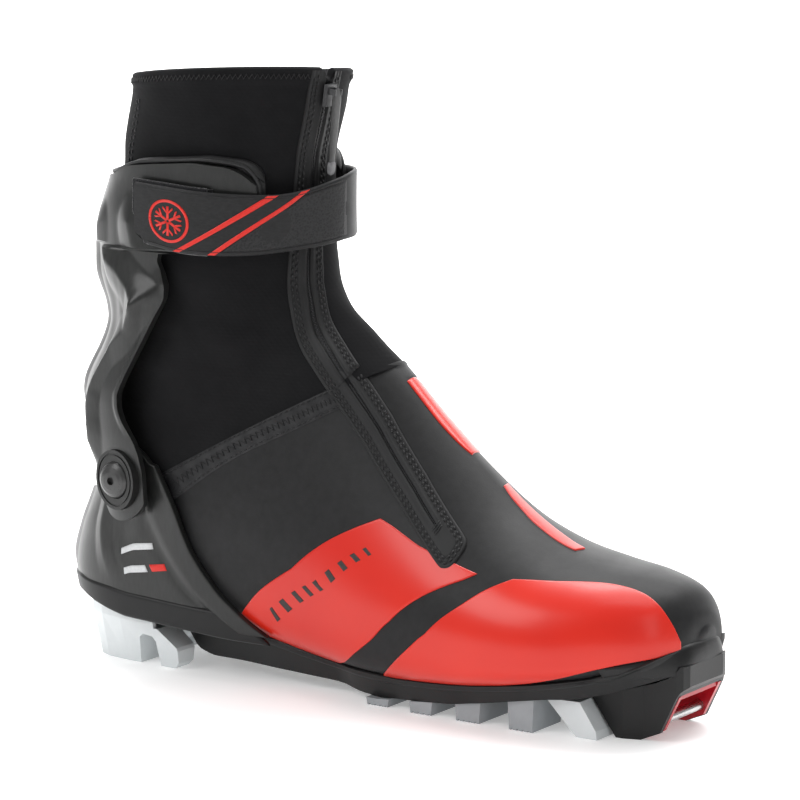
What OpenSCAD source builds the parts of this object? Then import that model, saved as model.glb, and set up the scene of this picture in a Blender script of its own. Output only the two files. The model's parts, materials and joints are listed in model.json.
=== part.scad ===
// Skate cross country ski boot, right foot. +X points to the toe, +Y to the inner side, +Z up.

/* [Boot] */
// Extra width added to each side of the upper
upper_ease = 0; // [-1:0.5:1]
// Wall of the bonded lower upper
vamp_wall = 2.4; // [2:0.2:3]
// Wall of the stretch ankle gaiter
gaiter_wall = 2.4; // [2:0.2:3]
// Lift of the thin overlays above the upper
overlay_gap = 0.35; // [0.3:0.05:0.5]
// Thickness of the bonded overlays
overlay_wall = 0.6; // [0.4:0.1:0.8]

/* [Cuff] */
// Height of the cuff pivot above the ground
pivot_z = 82; // [80:1:84]
// Distance of the cuff pivot behind the frame's origin
pivot_back = 104; // [102:1:106]
// Wall of the moulded cuff
cuff_wall = 3; // [2.6:0.2:3.2]
// Width of the closing strap
strap_w = 27; // [24:1:28]
// Thickness of the closing strap
strap_t = 1.8; // [1.4:0.2:2]

/* [Sole] */
// Radius of the steel toe bar
bar_r = 2; // [1.8:0.1:2.2]
// Half of the clear span of the toe bar
bar_half_span = 14.5; // [14:0.5:14.5]
// Width of each guide groove under the sole
groove_w = 5; // [4:0.5:6]

/* [Hidden] */

black = [0.07, 0.07, 0.075];
soft_black = [0.04, 0.04, 0.045];
carbon = [0.16, 0.16, 0.15];
red = [0.86, 0.13, 0.08];
orange = [0.95, 0.25, 0.12];
white = [0.88, 0.9, 0.92];
grey = [0.6, 0.62, 0.65];
steel = [0.7, 0.7, 0.7];

// ---------- the upper: sections fanned round the ankle bend ----------
// Each row: ridge x, z; bottom x, z; share of the height below the widest line;
// outer and inner half width; roundness of the upper and the lower half.
UPPER = [
    [150.5, 44, 150, 35, 0.4, 4, 11, 2.0, 2.0],
    [148.5, 50.5, 148, 31, 0.3, 15, 19.5, 2.1, 2.6],
    [141.5, 58.8, 139.5, 27.5, 0.28, 27, 29, 2.2, 3.2],
    [127.5, 63.6, 122.5, 24, 0.28, 37.5, 36, 2.2, 3.6],
    [108.5, 66.8, 101, 20, 0.29, 45, 41.5, 2.1, 3.8],
    [88, 71.8, 74, 15.5, 0.33, 48, 43.5, 2.0, 3.8],
    [68, 81.9, 44, 12, 0.35, 47, 42, 1.9, 3.8],
    [48, 98.5, 12, 11, 0.34, 44, 39, 1.8, 3.6],
    [28, 116, -22, 14, 0.34, 40, 36.5, 1.8, 3.4],
    [10, 132.7, -60, 18, 0.35, 37, 35.5, 1.85, 3.0],
    [-7, 146.7, -102, 22, 0.38, 35.5, 35, 1.95, 2.6],
    [-18.5, 155.3, -134, 25, 0.42, 34.3, 34, 2.0, 2.4],
    [-25, 163, -141, 54, 0.46, 34, 33.6, 2.1, 2.2],
    [-28.5, 171, -134, 90, 0.48, 34.4, 34, 2.1, 2.1],
    [-30.5, 179, -124.5, 124, 0.5, 34.5, 34.5, 2.1, 2.1],
    [-31.5, 189, -120.5, 152, 0.5, 35.5, 35, 2.1, 2.1],
    [-32, 200, -122, 180, 0.5, 36, 35.5, 2.1, 2.1],
    [-31, 219, -124, 211, 0.5, 36.5, 36.5, 2.1, 2.1],
    [-24.5, 253, -118.5, 245.5, 0.5, 37.5, 38.5, 2.1, 2.1]];
LAST = len(UPPER) - 1;

function spline(tab, s) =
    let (i = max(0, min(len(tab) - 2, floor(s))), t = s - i,
         p0 = tab[max(0, i - 1)], p1 = tab[i], p2 = tab[i + 1], p3 = tab[min(len(tab) - 1, i + 2)])
    0.5 * (2 * p1 + (p2 - p0) * t + (2 * p0 - 5 * p1 + 4 * p2 - p3) * t * t
           + (3 * p1 - p0 - 3 * p2 + p3) * t * t * t);

function rounded(a, n) = 1 / pow(pow(abs(cos(a)), n) + pow(abs(sin(a)), n), 1 / n);

// A point of the upper: s counts the sections from the toe, a turns from the ridge over the outer side.
function skin(s, a, off = 0) =
    let (r = spline(UPPER, s), T = [r[0], r[1]], B = [r[2], r[3]], h = norm(T - B), up = (T - B) / h,
         M = B + up * h * r[4], half = (cos(a) >= 0 ? h * (1 - r[4]) : h * r[4]) + off,
         w = (r[5] + r[6]) / 2 + upper_ease + off, q = rounded(a, cos(a) >= 0 ? r[7] : r[8]),
         along = M + up * q * cos(a) * half)
    [along[0], (r[6] - r[5]) / 2 - q * sin(a) * w, along[1]];

// Where the line of skin points at angle a rises past an edge line of the side view.
function above(p, edge) = p[2] - lookup(p[0], edge);
function crossing(a, edge, lo, hi, n = 14) =
    n == 0 ? (lo + hi) / 2
    : let (mid = (lo + hi) / 2) above(skin(mid, a), edge) > 0 ? crossing(a, edge, lo, mid, n - 1)
    : crossing(a, edge, mid, hi, n - 1);

// The angle at which section s meets an edge line, between a high and a low angle.
function meeting(s, edge, hi, lo, n = 14) =
    n == 0 ? (lo + hi) / 2
    : let (mid = (lo + hi) / 2) above(skin(s, mid), edge) > 0 ? meeting(s, edge, mid, lo, n - 1)
    : meeting(s, edge, hi, mid, n - 1);

SEAM = [[-160, 46], [-91, 84], [0, 132.5], [12, 139]];
ANKLE_TOP = [[-160, 86], [-100, 88], [-24, 150]];
COLLAR_FOOT = [[-160, 110], [-130, 118], [-30, 190]];
SOLE_TOP = [[-160, 31], [-111, 30], [-79, 25], [-34, 20], [-3, 14], [28, 14], [66, 17], [96, 21.5],
    [119, 26], [132, 30], [150, 38], [160, 41]];
FIRST_FAN = 5;
function seam_at(a) = crossing(a, SEAM, FIRST_FAN, 15);
function ankle_at(a) = crossing(a, ANKLE_TOP, FIRST_FAN, 16);
function collar_at(a) = crossing(a, COLLAR_FOOT, 8, 17);

// ---------- meshes from grids of points ----------
function flat(list) = [for (row = list) for (item = row) item];
function brim(p, q, n) = [[q, p, n + p], [q, n + p, n + q]];

// The faces of a wall between two grids of n by m points, with a brim round every edge.
function wall_faces(n, m, wrap) =
    [for (i = [0:n - 2]) for (j = [0:(wrap ? m - 1 : m - 2)])
        let (a = i * m + j, b = i * m + (j + 1) % m, c = (i + 1) * m + (j + 1) % m, d = (i + 1) * m + j, t = n * m)
        each concat([[a, b, c], [a, c, d], [t + a, t + c, t + b], [t + a, t + d, t + c]],
            i == 0 ? brim(a, b, t) : [], i == n - 2 ? brim(c, d, t) : [],
            !wrap && j == m - 2 ? brim(b, c, t) : [], !wrap && j == 0 ? brim(d, a, t) : [])];

module sheet(outer, inner, wrap = false, turn = false) {
    faces = wall_faces(len(outer), len(outer[0]), wrap);
    polyhedron(concat(flat(outer), flat(inner)), turn ? [for (f = faces) [f[0], f[2], f[1]]] : faces);
}

// A closed solid through rings of points, capped at both ends.
module capped(rings) {
    n = len(rings);
    m = len(rings[0]);
    polyhedron(flat(rings), concat(
        [for (i = [0:n - 2]) for (j = [0:m - 1])
            let (a = i * m + j, b = i * m + (j + 1) % m, c = (i + 1) * m + (j + 1) % m, d = (i + 1) * m + j)
            each [[a, b, c], [a, c, d]]],
        [[for (j = [m - 1:-1:0]) j]], [[for (j = [0:m - 1]) (n - 1) * m + j]]));
}

AROUND = 40;
function ring_angles(n) = [for (j = [0:n - 1]) 360 * j / n];

// The skin between two edges, as a tube wall.
module skin_tube(lo, hi, rows, wall, out = 0) {
    layer = function(off) [for (i = [0:rows])
        [for (a = ring_angles(AROUND)) skin(lo(a) + (hi(a) - lo(a)) * i / rows, a, off)]];
    sheet(layer(out), layer(out - wall), true);
}

// A patch of the skin between four corners [s, a], as a thin solid.
function blend4(c, u, v) = (c[0] * (1 - u) + c[1] * u) * (1 - v) + (c[3] * (1 - u) + c[2] * u) * v;
module skin_patch(corners, nu, nv, out, wall, turn = false) {
    grid = function(off) [for (i = [0:nu]) [for (j = [0:nv])
        let (p = blend4(corners, i / nu, j / nv)) skin(p[0], p[1], off)]];
    sheet(grid(out + wall), grid(out), false, turn);
}

// A strip of the skin that follows a line a(s), between two offsets of angle.
module skin_strip(line, lo, hi, rows, from, to, cols, out, wall) {
    grid = function(off) [for (i = [0:rows]) let (s = lo + (hi - lo) * i / rows)
        [for (j = [0:cols]) skin(s, line(s) + from(s) + (to(s) - from(s)) * j / cols, off)]];
    sheet(grid(out + wall), grid(out));
}

// ---------- the sole ----------
function rim_outer(s) = meeting(s, SOLE_TOP, 70, 180);
function rim_inner(s) = meeting(s, SOLE_TOP, 290, 180);
RAND_ROWS = [0, 0.3, 0.7, 1.1, 1.5, 2, 2.6, 3.3, 4.1, 4.9, 5.7, 6.5, 7.3, 8.1, 8.8, 9.3, 9.55, 9.75, 10.2, 10.6,
    10.9, 11.08, 11.16];
RAND_COLS = 14;
function rand_turn(s, j) = rim_outer(s) + (rim_inner(s) - rim_outer(s)) * j / RAND_COLS;
module sole_rand() {
    color(black) {
        grid = function(off) [for (s = RAND_ROWS) [for (j = [0:RAND_COLS]) skin(s, rand_turn(s, j), off)]];
        sheet(grid(2.7), grid(0.4));
    }
}

UNDERSIDE = [[-143, 17], [-90, 17], [-83, 8], [-74, 5.8], [-57, 6.2], [-31, 6], [-9, 5], [5, 3.4], [18, 3], [29, 4],
    [42, 5.4], [56, 6.6], [70, 9], [85, 12], [100, 14.5], [113, 16], [124, 19], [150, 28]];
// The side of the sole leans in below the rand, more under the heel.
SOLE_LEAN = [[-143, 8], [-100, 8], [-80, 4.5], [-20, 3.5], [20, 2.5], [80, 2.5], [110, 4], [150, 5]];

// A side-view outline, drawn in x and z, given a width in y.
module side(points, y0, y1) {
    translate([0, y1, 0]) rotate([90, 0, 0]) linear_extrude(y1 - y0) polygon(points);
}

module guide_grooves(x0, x1, z0, z1) {
    for (y = [-1, 1])
        translate([x0, y * 7 - groove_w / 2, z0]) cube([x1 - x0, groove_w, z1 - z0]);
}

module outsole() {
    color(black) {
        top = [for (i = [5:len(RAND_ROWS) - 2]) [for (j = [1:RAND_COLS - 1])
            skin(RAND_ROWS[i], rand_turn(RAND_ROWS[i], j), 2.75)]];
        bottom = [for (row = top) [for (p = row)
            let (lean = lookup(p[0], SOLE_LEAN), half = abs(p[1]), low = lookup(p[0], UNDERSIDE))
            [p[0], sign(p[1]) * max(0, half - lean * min(1, half / 28)), min(low, p[2] - 0.8)]]];
        sheet(bottom, top);
    }
}

// The black block round the toe bar: two ribs, a rear wall and a roof.
RIB = [[113, 15], [121, 4], [124, 0], [134, 0], [142.4, 3.6], [150.5, 20.5], [152.5, 22.5], [152.5, 31], [150.5, 31], [148.5, 27.4],
    [140, 23.4], [124, 18.5], [113, 15.6]];
BLOCK_PLAN = [[112, -21.5], [127, -21.5], [135, -19], [149.5, -18.6], [151.5, -16.6], [152.5, -13], [152.5, 13],
    [151.5, 16.6], [149.5, 18.6], [135, 19], [127, 21.5], [112, 21.5]];
module toe_block() {
    color(black) difference() {
        intersection() {
            side(RIB, -21.5, 21.5);
            linear_extrude(60) polygon(BLOCK_PLAN);
        }
        translate([127, -16.6, -1]) cube([40, 33.2, 20]);
        translate([141, 0, 8]) rotate([90, 0, 0]) cylinder(h = 36.6, r = bar_r + 0.05, center = true, $fn = 32);
        guide_grooves(110, 122, -1, 4);
    }
}

module bar_bracket() {
    cheek = [[129.2, 0.6], [134.6, 0.6], [142.8, 4.2], [149.8, 18.6], [129.2, 18.6]];
    color(red) difference() {
        union() {
            for (y = [-1, 1])
                side(cheek, y * 15.5 - 1, y * 15.5 + 1);
            translate([129.2, -15, 17]) cube([19.6, 30, 1.9]);
            translate([127.2, -16.5, 1.5]) cube([2.4, 33, 17.4]);
        }
        translate([141, 0, 8]) rotate([90, 0, 0]) cylinder(h = 60, r = bar_r + 0.05, center = true, $fn = 32);
    }
}

module toe_bar() {
    color(steel) translate([141, 0, 8]) rotate([90, 0, 0])
        cylinder(h = 2 * bar_half_span + 7, r = bar_r, center = true, $fn = 32);
}

TREAD_SIDE = [[-144.5, 23], [-144.5, 17], [-134, -1], [-106, -1], [-106, 0], [-104.5, 12], [-102.5, 13.6],
    [-97.5, 13], [-95.8, 11], [-95, 0], [-87.5, 0], [-85, 2.5], [-84.4, 8], [-86.5, 15], [-89, 18.5], [-102, 21],
    [-116, 22.6], [-128, 23]];
TREAD_PLAN = [[-144.5, 0], [-143.5, -9], [-140.5, -17], [-134.5, -24], [-126, -29], [-114, -32], [-84, -33.5],
    [-84, 31.5], [-114, 31], [-126, 28], [-134.5, 23], [-140.5, 16], [-143.5, 9]];
TREAD_WELL = [[-142.3, 0], [-141.4, -8], [-138.6, -15.5], [-133, -22], [-125, -26.8], [-114, -29.8], [-80, -31],
    [-80, 29.2], [-114, 28.8], [-125, 26], [-133, 21], [-138.6, 14.6], [-141.4, 8]];
TREAD_GROUND = [[-133.5, 0], [-133.4, -9], [-133, -17], [-131, -22.5], [-124.5, -26], [-113, -27.5], [-84, -29],
    [-84, 27.5], [-113, 27], [-124.5, 25], [-131, 21.5], [-133, 16], [-133.4, 9]];
module heel_tread() {
    ring = function(plan, z) [for (i = [len(plan) - 1:-1:0]) [plan[i][0], plan[i][1], z]];
    color(white) difference() {
        intersection() {
            capped([ring(TREAD_GROUND, 0), ring(TREAD_PLAN, 19), ring(TREAD_PLAN, 24)]);
            side(TREAD_SIDE, -60, 60);
        }
        translate([0, 0, 16.9]) linear_extrude(20) polygon(TREAD_WELL);
        side([[-96, 30], [-96, 16.9], [-94, 16.9], [-82, 7.2], [-80, 7.2], [-80, 30]], -60, 60);
        translate([-96.5, -19, -1]) cube([20, 38, 18.2]);
        guide_grooves(-160, -80, -1, 4.5);
        translate([-160, -1.5, -1]) cube([80, 3, 3]);
    }
}

// A tread lug: a prism from the ground to the sole, with notches across its foot.
module lug(x0, x1, y0, y1) {
    top = function(x) [x, lookup(x, UNDERSIDE) - 0.15];
    difference() {
        side([[x0 + 0.6, 0], [x1 - 0.6, 0], top(x1), top((x0 + x1) / 2), top(x0)], y0, y1);
        for (k = [0:3])
            translate([x0 + 1.4 + 2.6 * k, y0 - 1, -0.5]) cube([1, y1 - y0 + 2, 1.1]);
    }
}
LUGS = [[13, 24], [35, 46], [57, 69], [82, 94]];
module forefoot_lugs_outer() { color(grey) for (l = LUGS) lug(l[0], l[1], l[0] > 30 ? -34.5 : -33, -13); }
module forefoot_lugs_inner() { color(grey) for (l = LUGS) lug(l[0], l[1], 13, 31); }
module toe_lugs() {
    color(white) for (y = [-1, 1])
        side([[111, 0], [120.5, 0], [120, 3.4], [112.4, 14.3], [99, 14], [97.5, 13.4]], y * 22 - 8, y * 22 + 8);
}

module footbed() {
    color([0.2, 0.2, 0.22]) {
        rows = 18;
        grid = function(off) [for (i = [0:rows]) [for (j = [0:8])
            skin(1.9 + 8.6 * i / rows, 128 + 13 * j, off)]];
        sheet(grid(-3.2), grid(-6));
    }
}

// ---------- the upper's layers ----------
module vamp() {
    color(black) {
        angles = ring_angles(AROUND);
        rows = 20;
        outer = [for (i = [0:rows]) [for (a = angles) skin(seam_at(a) * pow(i / rows, 1.15), a)]];
        inner = [for (i = [rows:-1:0]) [for (a = angles)
            skin(0.9 + (seam_at(a) - 0.9) * i / rows, a, -vamp_wall)]];
        capped(concat(outer, inner));
    }
}

module ankle_gaiter() {
    color(soft_black) skin_tube(function(a) seam_at(a) + 0.03, function(a) ankle_at(a), 4, gaiter_wall);
}

module gaiter_flex() {
    color(soft_black) skin_tube(function(a) ankle_at(a) + 0.03, function(a) collar_at(a) - 0.03, 5, gaiter_wall);
}

module collar_gaiter() {
    color(soft_black) skin_tube(function(a) collar_at(a), function(a) LAST, 7, gaiter_wall);
}

module collar_binding() {
    color(soft_black) skin_tube(function(a) LAST - 0.2, function(a) LAST, 1, 0.5, 0.8);
}

module tongue() {
    color(soft_black) {
        grid = function(off) [for (i = [0:9]) [for (j = [0:8])
            let (a = -40 + 10 * j, s = 7 + (ankle_at(a) - 0.15 - 7) * i / 9) skin(s, a, off)]];
        sheet(grid(-2.8), grid(-5.2));
    }
}

// The taped seam between the bonded upper and the gaiter, one strip each side.
module tape_strip(a0, a1) {
    grid = function(off) [for (j = [0:16]) let (a = a0 + (a1 - a0) * j / 16, w = 0.3 + 0.3 * min(1, abs(abs(a) - 30) / 55))
        [for (i = [0:3]) skin(seam_at(a) - w * (1 - i / 3) * 1.05, a, off)]];
    sheet(grid(overlay_gap + 0.5), grid(overlay_gap), false, a1 > a0);
}
module seam_tape_outer() { color(black) tape_strip(41, 112); }
module seam_tape_inner() { color(black) tape_strip(-20, -112); }

module toe_overlay_outer() {
    color(orange) skin_patch([[5.1, 44], [1.9, 40], [1.4, 86], [6.6, 122]], 12, 9, overlay_gap, overlay_wall, true);
}
module toe_overlay_inner() {
    color(orange) skin_patch([[1.9, -40], [5.1, -44], [6.6, -122], [1.4, -86]], 12, 9, overlay_gap, overlay_wall, true);
}
module quarter_overlay_outer() {
    color(orange) skin_patch([[7.6, 60], [5.75, 54], [7.0, 123], [8.7, 118]], 8, 9, overlay_gap, overlay_wall, true);
}
module quarter_overlay_inner() {
    color(orange) skin_patch([[5.75, -44], [7.6, -52], [8.7, -118], [7.0, -123]], 8, 9, overlay_gap, overlay_wall, true);
}
module instep_patch_upper() {
    color(orange) skin_patch([[7.25, 1], [8.8, 5], [8.8, -13], [7.25, -14]], 5, 4, overlay_gap, overlay_wall, true);
}
module instep_patch_lower() {
    color(orange) skin_patch([[4.6, 5], [6.5, 1], [6.5, -11], [4.6, -4]], 6, 4, overlay_gap, overlay_wall, true);
}

// ---------- the zip ----------
ZIP = [[6.3, 48.5], [7.4, 39.5], [8.5, 33], [9.7, 29], [11, 24], [12.1, 20.5], [13.8, 17], [15, 13], [16.2, 10], [18, 8]];
function zip_a(s) = lookup(s, ZIP);
function cover(s) = lookup(s, [[6.3, 8], [7.4, 9.5], [11, 9], [18, 8]]);
ZIP_FOOT = 6.3;
ZIP_BREAK = 10.2;
ZIP_RESUME = 16.35;
module zip_strip(lo, hi, rows) {
    skin_strip(function(s) zip_a(s), lo, hi, rows, function(s) -cover(s), function(s) cover(s), 4, overlay_gap, 0.7);
}
module zip_line(lo, hi, rows) {
    skin_strip(function(s) zip_a(s), lo, hi, rows, function(s) -2.6, function(s) 2.6, 2, overlay_gap + 0.95, 0.9);
}
module zip_tape_lower() { color(soft_black) zip_strip(ZIP_FOOT, ZIP_BREAK, 16); }
module zip_coil_lower() { color(black) zip_line(ZIP_FOOT + 0.15, ZIP_BREAK, 16); }
module zip_tape_upper() { color(soft_black) zip_strip(ZIP_RESUME, LAST - 0.22, 4); }
module zip_coil_upper() { color(black) zip_line(ZIP_RESUME, LAST - 0.42, 4); }
module zip_stop() {
    p = skin(ZIP_FOOT - 0.14, zip_a(ZIP_FOOT), 1.7);
    color(black) translate(p) rotate([38, 42, 0]) cube([4, 5, 1.4], center = true);
}

// ---------- heel counter ----------
// The plan of a moulded shell at height z: an oval about [middle, 0], phi turned from the rear.
function oval(middle, rear, front, wide, n, phi) =
    let (c = cos(phi), A = c > 0 ? rear : front)
    [middle - A * sign(c) * pow(abs(c), 2 / n), -wide * sign(phi) * pow(abs(sin(phi)), 2 / n)];
// The turn at which that oval reaches x.
function turn_at(middle, rear, front, n, x) =
    let (d = middle - x, A = d > 0 ? rear : front) acos(sign(d) * pow(min(1, abs(d) / A), n / 2));

COUNTER_REAR = [[18, -144], [30, -149], [38, -151.5], [46, -151], [58, -146.6], [70, -141.2], [84, -135.5], [100, -133]];
COUNTER_MID = [[18, -106], [60, -100], [72, -92], [100, -90]];
COUNTER_WIDE = [[18, 38.6], [30, 38.8], [50, 38.6], [62, 38.6], [72, 39], [84, 40], [90, 39.8], [98, 38.4]];
COUNTER_FRONT = [[18, -32], [20, -34], [26, -44], [37, -58], [46, -66], [54, -72], [62, -76], [70, -79], [83, -85],
    [90, -89], [96, -95], [100, -98]];
COUNTER_FOOT = [[0, 30], [0.45, 29.5], [0.7, 25], [0.9, 20.5], [1, 19.5]];
COUNTER_TOP = [[0, 70], [0.22, 71], [0.4, 73.5], [0.52, 78], [0.6, 85], [0.68, 92], [0.78, 96.5], [0.9, 96], [0.96, 93],
    [1, 88]];
function counter_point(u, t, inset) =
    let (v = abs(u), z = lookup(v, COUNTER_FOOT) * (1 - t) + lookup(v, COUNTER_TOP) * t,
         middle = lookup(z, COUNTER_MID), rear = middle - lookup(z, COUNTER_REAR) - inset, front = 120 - inset,
         n = 2.25, phi = v * turn_at(middle, rear, front, n, lookup(z, COUNTER_FRONT)),
         p = oval(middle, rear, front, lookup(z, COUNTER_WIDE) - inset, n, (u < 0 ? 1 : -1) * max(phi, 0.001)))
    [p[0], p[1], z];
module heel_counter() {
    color(carbon) difference() {
        grid = function(inset) [for (i = [0:14]) [for (j = [0:36]) counter_point(-1 + 2 * j / 36, i / 14, inset)]];
        sheet(grid(0), grid(2.2));
        pivot_axis() cylinder(h = 120, r = 5.05, center = true, $fn = 48);
    }
}

// ---------- pivots ----------
module pivot_axis() { translate([-pivot_back, 0, pivot_z]) rotate([90, 0, 0]) children(); }
module outer_side() { pivot_axis() children(); }
module inner_side() { mirror([0, 1, 0]) pivot_axis() children(); }
TILT = 14.5;

module pivot_bush() {
    difference() {
        translate([0, 0, 36.8]) cylinder(h = 9.8, r = 5, $fn = 48);
        translate([0, 0, 36]) cylinder(h = 11, r = 3.05, $fn = 32);
    }
}
module pivot_nut() {
    difference() {
        union() {
            translate([0, 0, 35.4]) rotate([0, -10, 0]) cylinder(h = 0.9, r = 4.9, center = true, $fn = 48);
            translate([0, 0, 35.6]) cylinder(h = 4, r = 3, $fn = 32);
        }
        translate([0, 0, 34]) cylinder(h = 8, r = 1.9, $fn = 24);
    }
}
module pivot_screw() {
    difference() {
        union() {
            translate([0, 0, 46.7]) rotate_extrude($fn = 48)
                polygon([[0, 0], [7.5, 0], [7.5, 0.5], [6.9, 1.6], [5.6, 2.6], [3.8, 3.2], [1.8, 3.4], [0, 3.4]]);
            translate([0, 0, 41]) cylinder(h = 6, r = 3, $fn = 32);
        }
        translate([0, 0, 48.2]) cylinder(h = 3, r = 1.7, $fn = 24);
    }
}
// A disc let into the cuff's arm, turned a little with the arm's face.
module pivot_cap() {
    difference() {
        translate([0, 0, 45.3]) rotate([0, -TILT, 0]) difference() {
            translate([0, 0, -2.6]) cylinder(h = 4.2, r = 12.6, $fn = 64);
            translate([0, 0, 1.2]) difference() {
                cylinder(h = 2, r = 11.2, $fn = 64);
                translate([0, 0, -1]) cylinder(h = 4, r = 10.4, $fn = 64);
            }
        }
        translate([0, 0, 36]) cylinder(h = 12, r = 5.08, $fn = 48);
        translate([0, 0, 45.6]) cylinder(h = 8, r = 7.9, $fn = 48);
    }
}
module pivot_bush_outer() { color(steel) outer_side() pivot_bush(); }
module pivot_bush_inner() { color(steel) inner_side() pivot_bush(); }
module pivot_nut_outer() { color(steel) outer_side() pivot_nut(); }
module pivot_nut_inner() { color(steel) inner_side() pivot_nut(); }
module pivot_screw_outer() { color(carbon) outer_side() pivot_screw(); }
module pivot_screw_inner() { color(carbon) inner_side() pivot_screw(); }
module pivot_cap_outer() { color(carbon) outer_side() pivot_cap(); }
module pivot_cap_inner() { color(carbon) inner_side() pivot_cap(); }

// ---------- cuff ----------
CUFF_REAR = [[60, -131], [76, -133.5], [90, -138], [100, -141], [113, -143], [120, -141.4], [126, -138], [134, -132.4],
    [140, -129], [147, -126.5], [154, -128], [160, -131.5], [166, -134.5], [186, -135], [194, -134], [201, -130.6],
    [207, -127.6], [220, -127]];
CUFF_MID = [[60, -90], [104, -90], [130, -91], [165, -88], [180, -86], [217, -84]];
CUFF_NOSE = [[60, 52], [130, 53], [165, 60], [217, 60]];
CUFF_WIDE = [[60, 47], [100, 47], [118, 45.6], [140, 43.6], [165, 42.8], [180, 43.2], [217, 44]];
CUFF_FRONT = [[60, -89], [74, -89], [87, -90], [94, -92], [99, -94.5], [107, -101], [112, -103.5], [118, -104],
    [124, -101], [131, -97], [145, -89], [159, -81], [165, -80], [171, -82], [175, -84], [178, -83], [180, -43],
    [205, -41], [209, -41.5], [220, -44]];
CUFF_FOOT = [[0, 106], [0.12, 104], [0.25, 99], [0.38, 92], [0.48, 86], [0.535, 80], [0.6, 72], [0.7, 66], [0.82, 64],
    [0.93, 66], [1, 72]];
CUFF_TOP = [[0, 206], [0.25, 206.6], [0.4, 208.6], [0.55, 213.4], [0.8, 216.5], [0.92, 215], [0.97, 212], [1, 207]];
LEVELS = [64, 67, 71, 76, 82, 88, 94, 100, 107, 112, 118, 124, 131, 138, 145, 152, 159, 165, 171, 175, 178, 180, 186,
    194, 202, 209, 213, 217];
function cuff_height(v, level) =
    level < 110 ? lookup(v, CUFF_FOOT) + (level - 64) / 46 * (110 - lookup(v, CUFF_FOOT))
    : level > 190 ? 190 + (level - 190) / 27 * (lookup(v, CUFF_TOP) - 190) : level;
function cuff_point(u, z, inset, front_edge) =
    let (middle = lookup(z, CUFF_MID), rear = middle - lookup(z, CUFF_REAR) - inset, front = lookup(z, CUFF_NOSE) - inset,
         n = 2.2, v = abs(u), phi = v * turn_at(middle, rear, front, n, front_edge),
         p = oval(middle, rear, front, lookup(z, CUFF_WIDE) - inset, n, (u < 0 ? 1 : -1) * max(phi, 0.001)))
    [p[0], p[1], z];
module cuff_shell() {
    color(carbon) difference() {
        grid = function(inset) [for (level = LEVELS) [for (j = [0:40])
            let (u = -1 + j / 20, z = cuff_height(abs(u), level)) cuff_point(u, z, inset, lookup(z, CUFF_FRONT))]];
        sheet(grid(0), grid(cuff_wall));
        for (m = [0, 1])
            mirror([0, m, 0]) pivot_axis() translate([0, 0, 45.3]) rotate([0, -TILT, 0])
                cylinder(h = 30, r = 12.7, center = true, $fn = 64);
    }
}

PAD_LEVELS = [0, 0.2, 0.4, 0.5, 0.55, 0.62, 0.7, 0.8, 0.9, 1];
module cuff_padding() {
    color(soft_black) {
        low = function(v) lookup(v, [[0, 160], [0.4, 162], [0.5, 170], [0.56, 180.2], [1, 180.2]]);
        high = function(v) lookup(v, CUFF_TOP) + lookup(v, [[0, 0.8], [0.25, 2.5]]);
        thick = function(v) lookup(v, [[0, 0.6], [0.35, 0.8], [0.6, 1.95], [1, 1.95]]);
        clear = function(v, z) lookup(v, [[0.3, 0], [0.5, 1.35]]) * lookup(z, [[174, 0], [176, 1], [182, 1], [185, 0]]);
        grid = function(k) [for (t = PAD_LEVELS) [for (j = [0:32])
            let (u = -1 + j / 16, v = abs(u), z = low(v) + (high(v) - low(v)) * t)
            cuff_point(u, z, cuff_wall + 0.75 + (k == 1 ? thick(v) : clear(v, z)), -40)]];
        sheet(grid(0), grid(1));
    }
}

// ---------- strap ----------
// The strap's line seen from above, from the inner anchor round the front to the outer end.
STRAP = [[-98, 48.3], [-82, 49], [-66, 47.4], [-51.3, 42.2], [-38.8, 33.3], [-29, 22.2], [-21.8, 10], [-19.6, 0],
    [-21.8, -10], [-29, -22.2], [-38.8, -33.8], [-51.3, -42.7], [-66, -48.2], [-82, -49.4], [-95, -48.8]];
// The tail folds open about the outer face of the strap, at this point of its line.
STRAP_HINGE = 10;
function strap_line(s) = spline(STRAP, s);
function strap_normal(s) = let (d = strap_line(s + 0.05) - strap_line(s - 0.05)) [-d[1], d[0]] / norm(d);
function strap_foot(s) = 181 + 3.5 * (1 - cos(360 * min(1, s / 14))) / 2;
module strap_piece(lo, hi, rows, out, thick, shrink = 0) {
    grid = function(off) [for (i = [0:rows]) let (s = lo + (hi - lo) * i / rows, p = strap_line(s) + strap_normal(s) * off)
        [for (z = [0, 1]) [p[0], p[1], strap_foot(s) + shrink + (strap_w - 2 * shrink) * z]]];
    sheet(grid(out + thick), grid(out), false, true);
}
module strap_band() { color([0.2, 0.2, 0.2]) strap_piece(0, STRAP_HINGE - 0.02, 26, -strap_t, strap_t); }
module strap_tail() { color([0.2, 0.2, 0.2]) strap_piece(STRAP_HINGE + 0.02, 13.62, 10, -strap_t, strap_t); }
module strap_hook_pad() { color(soft_black) strap_piece(11.6, 13.5, 6, -strap_t - 1.05, 0.95, 1.5); }
module strap_loop_pad() {
    color(soft_black) {
        grid = function(out) [for (i = [0:2]) [for (j = [0:6])
            cuff_point(-1, 184 + 11 * i, -out, -90 + 5.5 * j)]];
        sheet(grid(0.9), grid(0.1), false, true);
    }
}
module strap_rivets() {
    color(steel) for (x = [-92, -80])
        translate([x, 49, 195]) rotate([-90, 0, 0]) {
            cylinder(h = 1.2, r = 3.6, $fn = 32);
            translate([0, 0, -4]) cylinder(h = 4.2, r = 1.8, $fn = 24);
        }
}

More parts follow.
